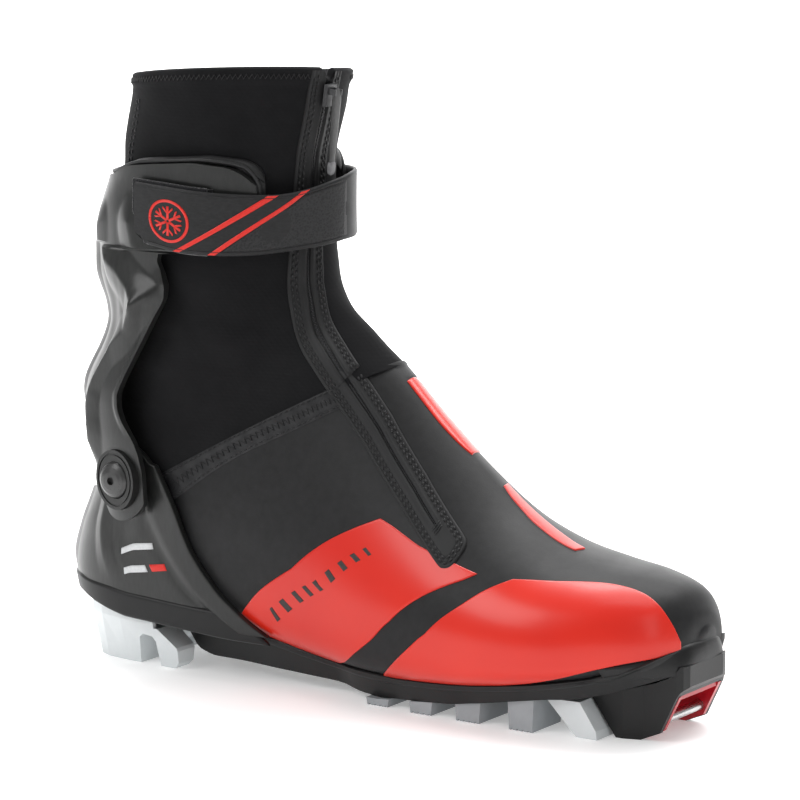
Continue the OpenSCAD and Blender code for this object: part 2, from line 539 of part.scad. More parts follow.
// ---------- zip slider and pull ----------
SLIDER = skin(17.66, zip_a(17.66), 2.55);
SLIDER_PIN = [4.2, 1.8];
module zip_slider() {
    color(steel) translate(SLIDER) rotate([0, 8, 0]) {
        translate([0.1, -3.4, -4.5]) cube([1.7, 6.8, 9]);
        for (y = [-2.4, 1.7])
            translate([1.6, y, 0.6]) cube([3.8, 0.7, 2.4]);
        translate([SLIDER_PIN[0], 0, SLIDER_PIN[1]]) rotate([90, 0, 0])
            cylinder(h = 4, r = 0.6, center = true, $fn = 24);
    }
}
// The pull turns on the slider's pin in an eye, and widens below the cheeks.
module zip_pull() {
    color(grey) translate(SLIDER) rotate([0, 8, 0]) translate([SLIDER_PIN[0], 0, SLIDER_PIN[1]]) {
        difference() {
            union() {
                rotate([90, 0, 0]) cylinder(h = 2.9, r = 1.3, center = true, $fn = 32);
                translate([-0.6, -1.45, -5]) cube([1.2, 2.9, 5]);
            }
            rotate([90, 0, 0]) cylinder(h = 6, r = 0.68, center = true, $fn = 32);
        }
        translate([-0.6, -2.5, -30]) cube([1.2, 5, 26.4]);
        translate([-1, -2.1, -34]) cube([2, 4.2, 4.6]);
    }
}

sole_rand();
outsole();
toe_block();
heel_tread();
forefoot_lugs_outer();
forefoot_lugs_inner();
toe_lugs();
bar_bracket();
toe_bar();
footbed();
heel_counter();
vamp();
ankle_gaiter();
gaiter_flex();
tongue();
seam_tape_outer();
seam_tape_inner();
toe_overlay_outer();
toe_overlay_inner();
quarter_overlay_outer();
quarter_overlay_inner();
instep_patch_upper();
instep_patch_lower();
zip_tape_lower();
zip_coil_lower();
zip_stop();
pivot_bush_outer();
pivot_bush_inner();
pivot_nut_outer();
pivot_nut_inner();
pivot_screw_outer();
pivot_screw_inner();
cuff_shell();
cuff_padding();
collar_gaiter();
collar_binding();
pivot_cap_outer();
pivot_cap_inner();
strap_band();
strap_rivets();
strap_loop_pad();
zip_tape_upper();
zip_coil_upper();
strap_tail();
strap_hook_pad();
zip_slider();
zip_pull();
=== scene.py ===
import math
import json
import bpy
import bmesh
import numpy as np
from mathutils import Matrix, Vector

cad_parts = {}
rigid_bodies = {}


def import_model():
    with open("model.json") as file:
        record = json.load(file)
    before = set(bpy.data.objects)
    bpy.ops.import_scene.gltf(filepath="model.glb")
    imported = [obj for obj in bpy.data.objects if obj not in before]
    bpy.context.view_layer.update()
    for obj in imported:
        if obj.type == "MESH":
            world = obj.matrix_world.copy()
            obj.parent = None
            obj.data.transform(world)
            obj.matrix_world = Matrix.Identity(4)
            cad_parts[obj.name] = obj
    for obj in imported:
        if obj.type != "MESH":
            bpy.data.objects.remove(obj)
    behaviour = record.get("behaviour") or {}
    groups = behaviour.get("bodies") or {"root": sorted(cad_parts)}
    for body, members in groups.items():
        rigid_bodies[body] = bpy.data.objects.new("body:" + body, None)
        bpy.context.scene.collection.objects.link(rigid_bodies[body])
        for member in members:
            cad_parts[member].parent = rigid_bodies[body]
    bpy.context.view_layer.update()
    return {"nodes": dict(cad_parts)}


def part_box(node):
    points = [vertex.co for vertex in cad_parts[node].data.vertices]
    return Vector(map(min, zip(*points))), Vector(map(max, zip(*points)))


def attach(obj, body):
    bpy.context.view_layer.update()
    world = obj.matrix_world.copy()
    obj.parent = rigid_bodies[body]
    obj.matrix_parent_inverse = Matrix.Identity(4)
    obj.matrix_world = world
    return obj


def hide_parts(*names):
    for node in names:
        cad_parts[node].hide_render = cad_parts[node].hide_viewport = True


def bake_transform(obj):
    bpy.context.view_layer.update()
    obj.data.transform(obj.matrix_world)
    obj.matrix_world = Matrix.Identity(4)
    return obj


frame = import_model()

NODES = frame["nodes"]


# ---------------------------------------------------------------- camera, light, floor
def camera():
    azimuth, elevation, distance = math.radians(34), math.radians(10), 1.6
    target = Vector((0.0107, -0.005, 0.121))
    away = Vector((math.sin(azimuth) * math.cos(elevation), -math.cos(azimuth) * math.cos(elevation),
                   math.sin(elevation)))
    data = bpy.data.cameras.new("camera")
    data.lens = 177
    data.sensor_width = 36
    obj = bpy.data.objects.new("camera", data)
    bpy.context.collection.objects.link(obj)
    obj.location = target + away * distance
    obj.rotation_euler = (-away).to_track_quat("-Z", "Y").to_euler()
    bpy.context.scene.camera = obj


def softbox(name, at, aim, size, power):
    data = bpy.data.lights.new(name, "AREA")
    data.shape = "RECTANGLE"
    data.size = size[0]
    data.size_y = size[1]
    data.energy = power
    obj = bpy.data.objects.new(name, data)
    bpy.context.collection.objects.link(obj)
    obj.location = at
    obj.rotation_euler = (Vector(aim) - Vector(at)).to_track_quat("-Z", "Y").to_euler()


camera()
world = bpy.data.worlds.new("world")
bpy.context.scene.world = world
world.use_nodes = True
world.node_tree.nodes["Background"].inputs[0].default_value = (1, 1, 1, 1)
world.node_tree.nodes["Background"].inputs[1].default_value = 0.36
bpy.context.scene.view_settings.view_transform = "Standard"
softbox("key", (-0.75, -1.25, 1.2), (0, 0, 0.1), (0.9, 0.9), 13)
softbox("front", (1.35, -0.55, 0.7), (0.05, 0, 0.08), (0.5, 1.2), 2.5)
softbox("rim", (-0.95, 0.75, 0.9), (-0.05, 0, 0.15), (0.7, 1.2), 3.5)
softbox("top", (0.25, 0.15, 1.5), (0, 0, 0.1), (1.0, 1.0), 7.5)
softbox("backdrop", (0, 1.2, 2.2), (-1.2, 2.6, 0.2), (3.0, 1.5), 160)


# ---------------------------------------------------------------- shapes, in millimetres
def lookup(x, rows):
    """Straight lines through (x, y) rows."""
    rows = sorted(rows)
    return np.interp(x, [r[0] for r in rows], [r[1] for r in rows])


def ease(x, lo, hi):
    """A smooth step from 0 at lo to 1 at hi."""
    t = np.clip((np.asarray(x, float) - lo) / (hi - lo), 0, 1)
    return t * t * (3 - 2 * t)


def spline(tab, s):
    """A smooth curve through the rows of a table, at a row number with a fraction."""
    tab = np.asarray(tab, float)
    s = np.asarray(s, float)
    i = np.clip(np.floor(s).astype(int), 0, len(tab) - 2)
    t = (s - i)[..., None]
    a, b = tab[np.maximum(0, i - 1)], tab[i]
    c, d = tab[i + 1], tab[np.minimum(len(tab) - 1, i + 2)]
    return 0.5 * (2 * b + (c - a) * t + (2 * a - 5 * b + 4 * c - d) * t * t
                  + (3 * b - a - 3 * c + d) * t ** 3)


# The sections of the upper from the toe to the collar, as in the CAD source:
# ridge x, z; bottom x, z; where the widest line lies; outer and inner half width; roundness above and below.
UPPER = [
    [150.5, 44, 150, 35, 0.4, 4, 11, 2.0, 2.0],
    [148.5, 50.5, 148, 31, 0.3, 15, 19.5, 2.1, 2.6],
    [141.5, 58.8, 139.5, 27.5, 0.28, 27, 29, 2.2, 3.2],
    [127.5, 63.6, 122.5, 24, 0.28, 37.5, 36, 2.2, 3.6],
    [108.5, 66.8, 101, 20, 0.29, 45, 41.5, 2.1, 3.8],
    [88, 71.8, 74, 15.5, 0.33, 48, 43.5, 2.0, 3.8],
    [68, 81.9, 44, 12, 0.35, 47, 42, 1.9, 3.8],
    [48, 98.5, 12, 11, 0.34, 44, 39, 1.8, 3.6],
    [28, 116, -22, 14, 0.34, 40, 36.5, 1.8, 3.4],
    [10, 132.7, -60, 18, 0.35, 37, 35.5, 1.85, 3.0],
    [-7, 146.7, -102, 22, 0.38, 35.5, 35, 1.95, 2.6],
    [-18.5, 155.3, -134, 25, 0.42, 34.3, 34, 2.0, 2.4],
    [-25, 163, -141, 54, 0.46, 34, 33.6, 2.1, 2.2],
    [-28.5, 171, -134, 90, 0.48, 34.4, 34, 2.1, 2.1],
    [-30.5, 179, -124.5, 124, 0.5, 34.5, 34.5, 2.1, 2.1],
    [-31.5, 189, -120.5, 152, 0.5, 35.5, 35, 2.1, 2.1],
    [-32, 200, -122, 180, 0.5, 36, 35.5, 2.1, 2.1],
    [-31, 219, -124, 211, 0.5, 36.5, 36.5, 2.1, 2.1],
    [-24.5, 253, -118.5, 245.5, 0.5, 37.5, 38.5, 2.1, 2.1]]
LAST = len(UPPER) - 1


def skin(s, a, off=0.0):
    """A point of the upper. s counts the sections from the toe, and a is the angle in degrees from the ridge, over
    the outer side."""
    s, a = np.broadcast_arrays(np.asarray(s, float), np.asarray(a, float))
    r = spline(UPPER, s)
    top, bottom = r[..., 0:2], r[..., 2:4]
    h = np.linalg.norm(top - bottom, axis=-1)
    up = (top - bottom) / h[..., None]
    mid = bottom + up * (h * r[..., 4])[..., None]
    ca, sa = np.cos(np.radians(a)), np.sin(np.radians(a))
    half = np.where(ca >= 0, h * (1 - r[..., 4]), h * r[..., 4]) + off
    wide = (r[..., 5] + r[..., 6]) / 2 + off
    n = np.where(ca >= 0, r[..., 7], r[..., 8])
    q = (np.abs(ca) ** n + np.abs(sa) ** n) ** (-1 / n)
    along = mid + up * (q * ca * half)[..., None]
    return np.stack([along[..., 0], (r[..., 6] - r[..., 5]) / 2 - q * sa * wide, along[..., 1]], -1)


def skin_normal(s, a):
    """The upper's outward normal."""
    ds = skin(np.clip(np.asarray(s) + 0.03, 0, LAST), a) - skin(np.clip(np.asarray(s) - 0.03, 0, LAST), a)
    da = skin(s, np.asarray(a) + 0.5) - skin(s, np.asarray(a) - 0.5)
    n = np.cross(ds, da)
    n = n / np.maximum(1e-9, np.linalg.norm(n, axis=-1))[..., None]
    return -n if skin_normal.flip else n


skin_normal.flip = False
_probe = skin(9.0, 90.0) - np.array([-20.0, 0, 80.0])
if float(np.dot(skin_normal(9.0, 90.0), _probe)) < 0:
    skin_normal.flip = True


def on_skin(s, a, h=0.0):
    """A point at height h over the upper's surface, along its own normal."""
    n = skin_normal(s, a)
    return skin(s, a) + n * np.asarray(h, float)[..., None]


def rises_past(edge, lo, hi, shape, point):
    """The value between lo and hi at which point(value) rises past an edge line of the side view."""
    lo, hi = np.full(shape, float(lo)), np.full(shape, float(hi))
    for _ in range(18):
        mid = (lo + hi) / 2
        p = point(mid)
        over = p[..., 2] > lookup(p[..., 0], edge)
        hi, lo = np.where(over, mid, hi), np.where(over, lo, mid)
    return (lo + hi) / 2


SEAM = [[-160, 46], [-91, 84], [0, 132.5], [12, 139]]
SOLE_TOP = [[-160, 31], [-111, 30], [-79, 25], [-34, 20], [-3, 14], [28, 14], [66, 17], [96, 21.5], [119, 26],
            [132, 30], [150, 38], [160, 41]]


def seam_at(a):
    """The section at which the seam between upper and gaiter lies, at angle a."""
    a = np.asarray(a, float)
    return rises_past(SEAM, 5, 15, a.shape, lambda s: skin(s, a))


ZIP = [[6.3, 48.5], [7.4, 39.5], [8.5, 33], [9.7, 29], [11, 24], [12.1, 20.5], [13.8, 17], [15, 13],
       [16.2, 10],
       [18, 8]]


def zip_a(s):
    return lookup(s, ZIP)


BLOCK = 20000
ZIP_LINE = [(s, float(zip_a(s))) for s in np.linspace(6.3, 18, 160)]
ZIP_POINTS = skin([p[0] for p in ZIP_LINE], [p[1] for p in ZIP_LINE])


def zip_side(s, a):
    """The signed distance from the zip's line, in millimetres: positive on its outer side."""
    p = skin(s, a)
    shape = p.shape[:-1]
    flat = p.reshape(-1, 3)
    out = np.concatenate([np.linalg.norm(flat[lo:lo + BLOCK, None, :] - ZIP_POINTS[None, :, :], axis=-1).min(1)
                          for lo in range(0, len(flat), BLOCK)])
    side = np.sign(np.asarray(a, float).reshape(-1) - np.interp(np.asarray(s, float).reshape(-1),
                   [q[0] for q in ZIP_LINE], [q[1] for q in ZIP_LINE]))
    return (out * np.where(side == 0, 1, side)).reshape(shape)


# ---------------------------------------------------------------- meshes
def new_object(name, verts, faces, smooth=True):
    mesh = bpy.data.meshes.new(name)
    mesh.from_pydata([tuple(v) for v in np.asarray(verts) / 1000.0], [], faces)
    mesh.update()
    if smooth:
        mesh.polygons.foreach_set("use_smooth", [True] * len(mesh.polygons))
    obj = bpy.data.objects.new(name, mesh)
    bpy.context.collection.objects.link(obj)
    return obj


def grid_faces(n, m, wrap=False, start=0, turn=False):
    i, j = np.meshgrid(np.arange(n - 1), np.arange(m if wrap else m - 1), indexing="ij")
    a, b = i * m + j, i * m + (j + 1) % m
    c, d = (i + 1) * m + (j + 1) % m, (i + 1) * m + j
    quads = np.stack([a, d, c, b] if turn else [a, b, c, d], -1).reshape(-1, 4) + start
    return quads.tolist()


def grid_object(name, points, wrap=False, turn=False):
    n, m = points.shape[:2]
    return new_object(name, points.reshape(-1, 3), grid_faces(n, m, wrap, 0, turn))


def wall(name, outer, inner, wrap=False, turn=False):
    """A closed wall between two grids, with a brim round every open edge."""
    n, m = outer.shape[:2]
    t = n * m
    faces = grid_faces(n, m, wrap, 0, turn) + grid_faces(n, m, wrap, t, not turn)
    for j in range(m if wrap else m - 1):
        k = (j + 1) % m
        low = [j, t + j, t + k, k]
        e = (n - 1) * m
        high = [e + j, e + k, t + e + k, t + e + j]
        faces.append(low[::-1] if turn else low)
        faces.append(high[::-1] if turn else high)
    if not wrap:
        for i in range(n - 1):
            left = [i * m, (i + 1) * m, t + (i + 1) * m, t + i * m]
            f = i * m + m - 1
            right = [f, t + f, t + f + m, f + m]
            faces.append(left[::-1] if turn else left)
            faces.append(right[::-1] if turn else right)
    return new_object(name, np.concatenate([outer.reshape(-1, 3), inner.reshape(-1, 3)]), faces)


def bevel(obj, width, segments=2, angle=35):
    mod = obj.modifiers.new("bevel", "BEVEL")
    mod.width = width / 1000
    mod.segments = segments
    mod.limit_method = "ANGLE"
    mod.angle_limit = math.radians(angle)


def smooth_by_angle(obj, angle=35):
    mesh = obj.data
    mesh.polygons.foreach_set("use_smooth", [True] * len(mesh.polygons))
    mesh.set_sharp_from_angle(angle=math.radians(angle))


def close_ends(obj, n, m):
    """Closes both ends of a ringed skin of n rings of m points."""
    bm = bmesh.new()
    bm.from_mesh(obj.data)
    bm.verts.ensure_lookup_table()
    bm.faces.new([bm.verts[k] for k in range(m)][::-1])
    bm.faces.new([bm.verts[(n - 1) * m + k] for k in range(m)])
    bmesh.ops.recalc_face_normals(bm, faces=bm.faces)
    bm.to_mesh(obj.data)
    bm.free()


def tube(name, path, radius, sides=6):
    """A capped mesh tube of one radius along a path in millimetres."""
    path = np.asarray(path, float)
    n = len(path)
    tangent = np.concatenate([path[1:], path[-1:]]) - np.concatenate([path[:1], path[:-1]])
    tangent = tangent / np.maximum(1e-9, np.linalg.norm(tangent, axis=1))[:, None]
    ref = np.array([0.0, 0.0, 1.0]) if abs(tangent[0][2]) < 0.9 else np.array([1.0, 0, 0])
    side = np.cross(tangent[0], ref)
    side /= np.linalg.norm(side)
    rings = []
    for k in range(n):
        side = side - tangent[k] * np.dot(side, tangent[k])
        side /= np.linalg.norm(side)
        up = np.cross(tangent[k], side)
        t = np.arange(sides) * 2 * math.pi / sides
        rings.append(path[k] + radius * (np.cos(t)[:, None] * side + np.sin(t)[:, None] * up))
    faces = grid_faces(n, sides, True)
    faces.append(list(range(sides))[::-1])
    faces.append([(n - 1) * sides + j for j in range(sides)])
    return new_object(name, np.array(rings).reshape(-1, 3), faces)


def run_along(path):
    """How far along a line of points each one lies, from 0."""
    return np.concatenate([[0], np.cumsum(np.linalg.norm(np.diff(path, axis=0), axis=1))])


# A stitch dives under the cloth at both ends; its rise is in thread radii, and all of it sits a little low.
STITCH_RISE = [-1.25, 0.1 / 0.28, 1, 0.1 / 0.28, -1.25]
STITCH_SINK = 0.03


def stitches(name, path, normals, length, gap, radius):
    """Thread along a path: short humped stitches that dive into the cloth between them."""
    path = np.asarray(path, float)
    run = run_along(path)
    verts, faces = [], []
    pos = 0.0
    sides = 6
    while pos + length < run[-1]:
        ts = pos + length * np.array([0.0, 0.12, 0.5, 0.88, 1.0])
        c = np.stack([np.interp(ts, run, path[:, k]) for k in range(3)], -1)
        nrm = np.stack([np.interp(ts, run, normals[:, k]) for k in range(3)], -1)
        nrm /= np.linalg.norm(nrm, axis=1)[:, None]
        c = c + nrm * (np.array(STITCH_RISE) * radius - STITCH_SINK)[:, None]
        d = c[-1] - c[0]
        d /= np.linalg.norm(d)
        start = len(verts)
        for k in range(5):
            u = nrm[k]
            w = np.cross(d, u)
            w /= np.linalg.norm(w)
            for q in range(sides):
                t = 2 * math.pi * q / sides
                verts.append(c[k] + radius * (math.cos(t) * w * 1.15 + math.sin(t) * u))
        for k in range(4):
            for q in range(sides):
                a, b = start + k * sides + q, start + k * sides + (q + 1) % sides
                faces.append([a, b, b + sides, a + sides])
        pos += length + gap
    return new_object(name, np.array(verts), faces)


# ---------------------------------------------------------------- materials
def base_material(name, color, rough, metal=0.0, spec=0.5, coat=0.0, coat_rough=0.1, sheen=0.0, sheen_rough=0.4):
    mat = bpy.data.materials.new(name)
    mat.use_nodes = True
    nt = mat.node_tree
    nt.nodes.clear()
    out = nt.nodes.new("ShaderNodeOutputMaterial")
    bsdf = nt.nodes.new("ShaderNodeBsdfPrincipled")
    nt.links.new(bsdf.outputs[0], out.inputs[0])
    for socket, value in (("Base Color", (*color, 1)), ("Roughness", rough), ("Metallic", metal),
                          ("Specular IOR Level", spec), ("Coat Weight", coat), ("Coat Roughness", coat_rough),
                          ("Sheen Weight", sheen), ("Sheen Roughness", sheen_rough)):
        bsdf.inputs[socket].default_value = value
    return mat, nt, bsdf


def texture(nt, kind, vector, **values):
    """A texture node that reads a vector, with its sockets' values by name."""
    node = nt.nodes.new(kind)
    for socket, value in values.items():
        node.inputs[socket].default_value = value
    nt.links.new(vector, node.inputs["Vector"])
    return node


def ramp(nt, fac, lo, hi, out_lo, out_hi):
    node = nt.nodes.new("ShaderNodeMapRange")
    for socket, value in (("From Min", lo), ("From Max", hi), ("To Min", out_lo), ("To Max", out_hi)):
        node.inputs[socket].default_value = value
    nt.links.new(fac, node.inputs["Value"])
    return node.outputs["Result"]


def vary_color(nt, bsdf, fac, dark, light):
    mix = nt.nodes.new("ShaderNodeMix")
    mix.data_type = "RGBA"
    mix.inputs[6].default_value = (*dark, 1)
    mix.inputs[7].default_value = (*light, 1)
    nt.links.new(fac, mix.inputs[0])
    nt.links.new(mix.outputs[2], bsdf.inputs["Base Color"])


def add_bump(nt, bsdf, layers, strength):
    """Stacks bump layers, each (height output, distance in millimetres)."""
    normal = None
    for height, distance in layers:
        b = nt.nodes.new("ShaderNodeBump")
        b.inputs["Strength"].default_value = strength
        b.inputs["Distance"].default_value = distance / 1000
        nt.links.new(height, b.inputs["Height"])
        if normal is not None:
            nt.links.new(normal, b.inputs["Normal"])
        normal = b.outputs["Normal"]
    nt.links.new(normal, bsdf.inputs["Normal"])


MATS = {}


def pattern(nt, kind, scale, detail=3, stretch=(1, 1, 1)):
    """One texture output: noise, a weave of a size in millimetres, or cells. detail is the noise's detail or the
    weave's direction."""
    vector = texture(nt, "ShaderNodeMapping", nt.nodes.new("ShaderNodeTexCoord").outputs["Object"],
                     Scale=stretch).outputs["Vector"]
    if kind == "noise":
        return texture(nt, "ShaderNodeTexNoise", vector, Scale=scale, Detail=detail, Roughness=0.6).outputs["Fac"]
    if kind == "weave":
        bands = texture(nt, "ShaderNodeTexWave", vector, Scale=1000 / scale / 6.283 * 0.5, Distortion=0.4, Detail=1)
        bands.wave_type = "BANDS"
        bands.bands_direction = detail
        return bands.outputs["Fac"]
    return texture(nt, "ShaderNodeTexVoronoi", vector, Scale=scale).outputs["Distance"]


def surface(key, color, rough, patterns, vary=None, gloss=None, bump=(), strength=0.5, **shader):
    """A material from named patterns. vary is (pattern, lo, hi, dark, light), gloss is (pattern, lo, hi, least
    roughness, most), and bump holds (pattern, depth in millimetres)."""
    mat, nt, bsdf = base_material(key, color, rough, **shader)
    made = {name: pattern(nt, *spec) for name, spec in patterns.items()}
    if vary:
        name, lo, hi, dark, light = vary
        vary_color(nt, bsdf, ramp(nt, made[name], lo, hi, 0, 1), dark, light)
    if gloss:
        name, lo, hi, smooth, dull = gloss
        nt.links.new(ramp(nt, made[name], lo, hi, smooth, dull), bsdf.inputs["Roughness"])
    add_bump(nt, bsdf, [(made[name], depth) for name, depth in bump], strength)
    MATS[key] = mat


def make_materials():
    # Bonded synthetic upper: satin, with a fine knit printed through the film.
    surface("upper_black", (0.008, 0.008, 0.0084), 0.55,
            dict(fine=("noise", 1700, 2), mid=("noise", 260, 4), broad=("noise", 22, 3)),
            ("mid", 0.3, 0.7, (0.008, 0.008, 0.0085), (0.0125, 0.0125, 0.0132)),
            ("broad", 0.3, 0.7, 0.46, 0.56),
            [("fine", 0.06), ("mid", 0.06), ("broad", 0.25)], spec=0.24)
    surface("zip_cover", (0.01, 0.01, 0.0105), 0.55, dict(fine=("noise", 1500), broad=("noise", 40)),
            ("broad", 0.3, 0.7, (0.008, 0.008, 0.0085), (0.0125, 0.0125, 0.013)),
            bump=[("fine", 0.06), ("broad", 0.2)], spec=0.3)
    # Stretch neoprene: matt, close knit.
    surface("gaiter_neoprene", (0.008, 0.008, 0.009), 0.85,
            dict(knit=("weave", 0.42, "DIAGONAL"), rib=("weave", 0.37, "Z"), broad=("noise", 45, 4),
                 fuzz=("noise", 1500)),
            ("broad", 0.25, 0.75, (0.005, 0.005, 0.0056), (0.009, 0.009, 0.0098)),
            bump=[("knit", 0.03), ("rib", 0.03), ("fuzz", 0.06), ("broad", 0.35)], strength=0.6, spec=0.12,
            sheen=0.03, sheen_rough=0.5)
    surface("lining_mesh", (0.02, 0.02, 0.022), 0.95, dict(holes=("cells", 700)),
            ("holes", 0, 0.7, (0.009, 0.009, 0.01), (0.04, 0.04, 0.043)), bump=[("holes", 0.25)],
            strength=0.8,
            spec=0.2, sheen=0.3)
    # Glossy bonded film.
    surface("overlay_red", (0.6, 0.016, 0.006), 0.34, dict(broad=("noise", 20, 1), fine=("noise", 1100, 2)),
            ("broad", 0, 1, (0.52, 0.009, 0.005), (0.68, 0.024, 0.008)), ("fine", 0, 1, 0.28, 0.4),
            [("fine", 0.02), ("broad", 0.2)], spec=0.3, coat=0.25, coat_rough=0.22)
    surface("seam_film", (0.02, 0.02, 0.021), 0.55, dict(ribs=("weave", 1.6, "DIAGONAL"),
                                                         fine=("noise", 1200, 2)),
            ("ribs", 0, 1, (0.01, 0.01, 0.011), (0.017, 0.017, 0.018)), bump=[("ribs", 0.25), ("fine", 0.05)],
            strength=0.6, spec=0.3)
    # Fibre filled shell: semi gloss, faint drawn grain.
    surface("shell_carbon", (0.012, 0.0125, 0.012), 0.36,
            dict(grain=("noise", 700, 4, (1, 1, 0.25)), broad=("noise", 30)),
            ("grain", 0.3, 0.7, (0.0095, 0.01, 0.0096), (0.016, 0.0165, 0.016)),
            ("broad", 0.3, 0.7, 0.3, 0.42),
            [("grain", 0.05), ("broad", 0.12)], spec=0.36, coat=0.12, coat_rough=0.2)
    surface("cap_plastic", (0.009, 0.0093, 0.009), 0.4, dict(fine=("noise", 900)),
            ("fine", 0.3, 0.7, (0.007, 0.0074, 0.007), (0.012, 0.0123, 0.012)), bump=[("fine", 0.05)],
            spec=0.3)
    surface("sole_rubber", (0.009, 0.009, 0.0093), 0.45, dict(fine=("noise", 1100), broad=("noise", 35)),
            ("broad", 0.3, 0.7, (0.0075, 0.0075, 0.0078), (0.0125, 0.0125, 0.0128)),
            ("broad", 0.3, 0.7, 0.37, 0.5), [("fine", 0.05), ("broad", 0.1)], spec=0.28)
    for key, light, dark, rough in (("tread_white", (0.7, 0.73, 0.74), (0.62, 0.65, 0.66), 0.45),
                                    ("lug_grey", (0.36, 0.38, 0.4), (0.28, 0.3, 0.31), 0.55)):
        surface(key, light, rough, dict(broad=("noise", 60, 4), fine=("noise", 1200)),
                ("broad", 0.25, 0.7, dark, light), bump=[("fine", 0.06), ("broad", 0.15)], spec=0.45)
    surface("bracket_red", (0.42, 0.006, 0.016), 0.3, dict(fine=("noise", 500)),
            ("fine", 0.3, 0.7, (0.36, 0.005, 0.012), (0.46, 0.008, 0.02)), bump=[("fine", 0.05)], spec=0.5,
            coat=0.2, coat_rough=0.2)
    for key, c, rough in (("bar_steel", 0.55, 0.28), ("pivot_metal", 0.42, 0.32)):
        surface(key, (c, c, c), rough, dict(turned=("noise", 2500, 3, (1, 0.06, 1))),
                ("turned", 0.3, 0.7, (c * 0.85,) * 3, (c * 1.1,) * 3),
                ("turned", 0.3, 0.7, rough - 0.06, rough + 0.12), [("turned", 0.02)], metal=1.0)
    surface("screw_dark", (0.05, 0.05, 0.05), 0.32, dict(fine=("noise", 1400)),
            gloss=("fine", 0.3, 0.7, 0.26, 0.4),
            bump=[("fine", 0.04)], metal=0.4, spec=0.6)
    surface("padding_black", (0.01, 0.01, 0.0105), 0.5, dict(pebble=("cells", 1100), broad=("noise", 60)),
            ("broad", 0.3, 0.7, (0.008, 0.008, 0.0085), (0.013, 0.013, 0.0135)),
            bump=[("pebble", 0.12), ("broad", 0.3)], strength=0.6, spec=0.4)
    # Coated strap: dark grey, a fine diagonal twill.
    surface("strap_webbing", (0.012, 0.012, 0.0125), 0.55,
            dict(twill=("weave", 0.9, "DIAGONAL"), slub=("noise", 420, 3, (1, 1, 3)),
                 fine=("noise", 1500, 2)),
            ("slub", 0.3, 0.7, (0.0095, 0.0095, 0.01), (0.016, 0.016, 0.017)),
            bump=[("twill", 0.05), ("slub", 0.1), ("fine", 0.04)], strength=0.6, spec=0.3)
    surface("strap_grain", (0.014, 0.014, 0.0145), 0.55, dict(grip=("cells", 1100)),
            ("grip", 0.1, 0.6, (0.008, 0.008, 0.0084), (0.02, 0.02, 0.021)), bump=[("grip", 0.2)],
            strength=0.7,
            spec=0.3)
    surface("hook_loop", (0.008, 0.008, 0.009), 0.95, dict(fine=("noise", 1600, 4)),
            ("fine", 0.3, 0.7, (0.004, 0.004, 0.005), (0.018, 0.018, 0.02)), bump=[("fine", 0.4)],
            strength=0.9,
            spec=0.2, sheen=0.35)
    surface("print_red", (0.62, 0.018, 0.012), 0.4, dict(fine=("noise", 1200)),
            ("fine", 0.3, 0.7, (0.58, 0.015, 0.009), (0.66, 0.022, 0.013)), bump=[("fine", 0.04)], spec=0.4)
    for key, light, dark, rough, depth in (
            ("print_white", (0.62, 0.63, 0.64), (0.52, 0.53, 0.54), 0.5, 0.03),
            ("print_black", (0.03, 0.022, 0.02), (0.018, 0.014, 0.013), 0.5, 0.03),
            ("thread_black", (0.008, 0.008, 0.009), (0.004, 0.004, 0.0045), 0.55, 0.03),
            ("zip_coil", (0.022, 0.022, 0.024), (0.012, 0.012, 0.013), 0.4, 0.03),
            ("pull_grey", (0.05, 0.05, 0.05), (0.035, 0.035, 0.035), 0.5, 0.03),
            ("pull_pale", (0.16, 0.16, 0.165), (0.11, 0.11, 0.115), 0.5, 0.03),
            ("slider_metal", (0.05, 0.05, 0.052), (0.032, 0.032, 0.034), 0.35, 0.03),
            ("insole_felt", (0.075, 0.075, 0.08), (0.05, 0.05, 0.055), 0.95, 0.08)):
        surface(key, light, rough, dict(fine=("noise", 900)), ("fine", 0.3, 0.7, dark, light),
                bump=[("fine", depth)], spec=0.45)
    mat, _, bsdf = base_material("floor", (0.88, 0.88, 0.88), 0.6, spec=0.3)
    bsdf.inputs["Emission Color"].default_value = (1, 1, 1, 1)
    bsdf.inputs["Emission Strength"].default_value = 0.3
    MATS["floor"] = mat


make_materials()


def finish_piece(obj, place, material, nodes=()):
    """Gives a piece its material, and its place: the body it rides on, or a function that bakes its place into its
    mesh.
    """
    obj.data.materials.clear()
    obj.data.materials.append(MATS[material])
    if callable(place):
        place(obj)
    else:
        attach(obj, place)
    if nodes:
        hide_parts(*nodes)
    return obj


# The floor is a wide sheet that curves up far behind the boot.
def make_floor():
    xs = np.linspace(-3000, 3000, 13)
    prof = [(-3000, 0), (0, 0), (1500, 0), (2000, 60), (2400, 300), (2600, 800), (2700, 2200)]
    pts = np.array([[(x, y, z - 0.05) for x in xs] for y, z in prof])
    obj = grid_object("floor", pts, turn=True)
    obj.data.materials.append(MATS["floor"])
    obj.rotation_euler = (0, 0, math.radians(34))


make_floor()


# ---------------------------------------------------------------- the upper and the gaiter
def fine_angles():
    """Turns round the upper, closer together over the instep where the zip lies."""
    close = 0.55
    out, a = [], -180.0
    while a < 180:
        out.append(a)
        a += close if -22 < a < 62 else (2.0 if abs(a) < 120 else 3.0)
    return np.array(out)


ANGLES = fine_angles()


def collar_shape(pts, s, a):
    """Raises the collar's rim at the outer side, and parts it a little at the zip."""
    s, a = np.broadcast_arrays(s, a)
    rise = np.sin(np.radians(a)) * ease(s, 17.0, 18)
    pts[..., 2] += np.where(rise > 0, 4.2, 2.2) * rise
    pts[..., 2] -= 4.0 * np.exp(-((np.abs(zip_side(s, a)) / 2.4) ** 4)) * ease(s, 17.75, 18)
    return pts


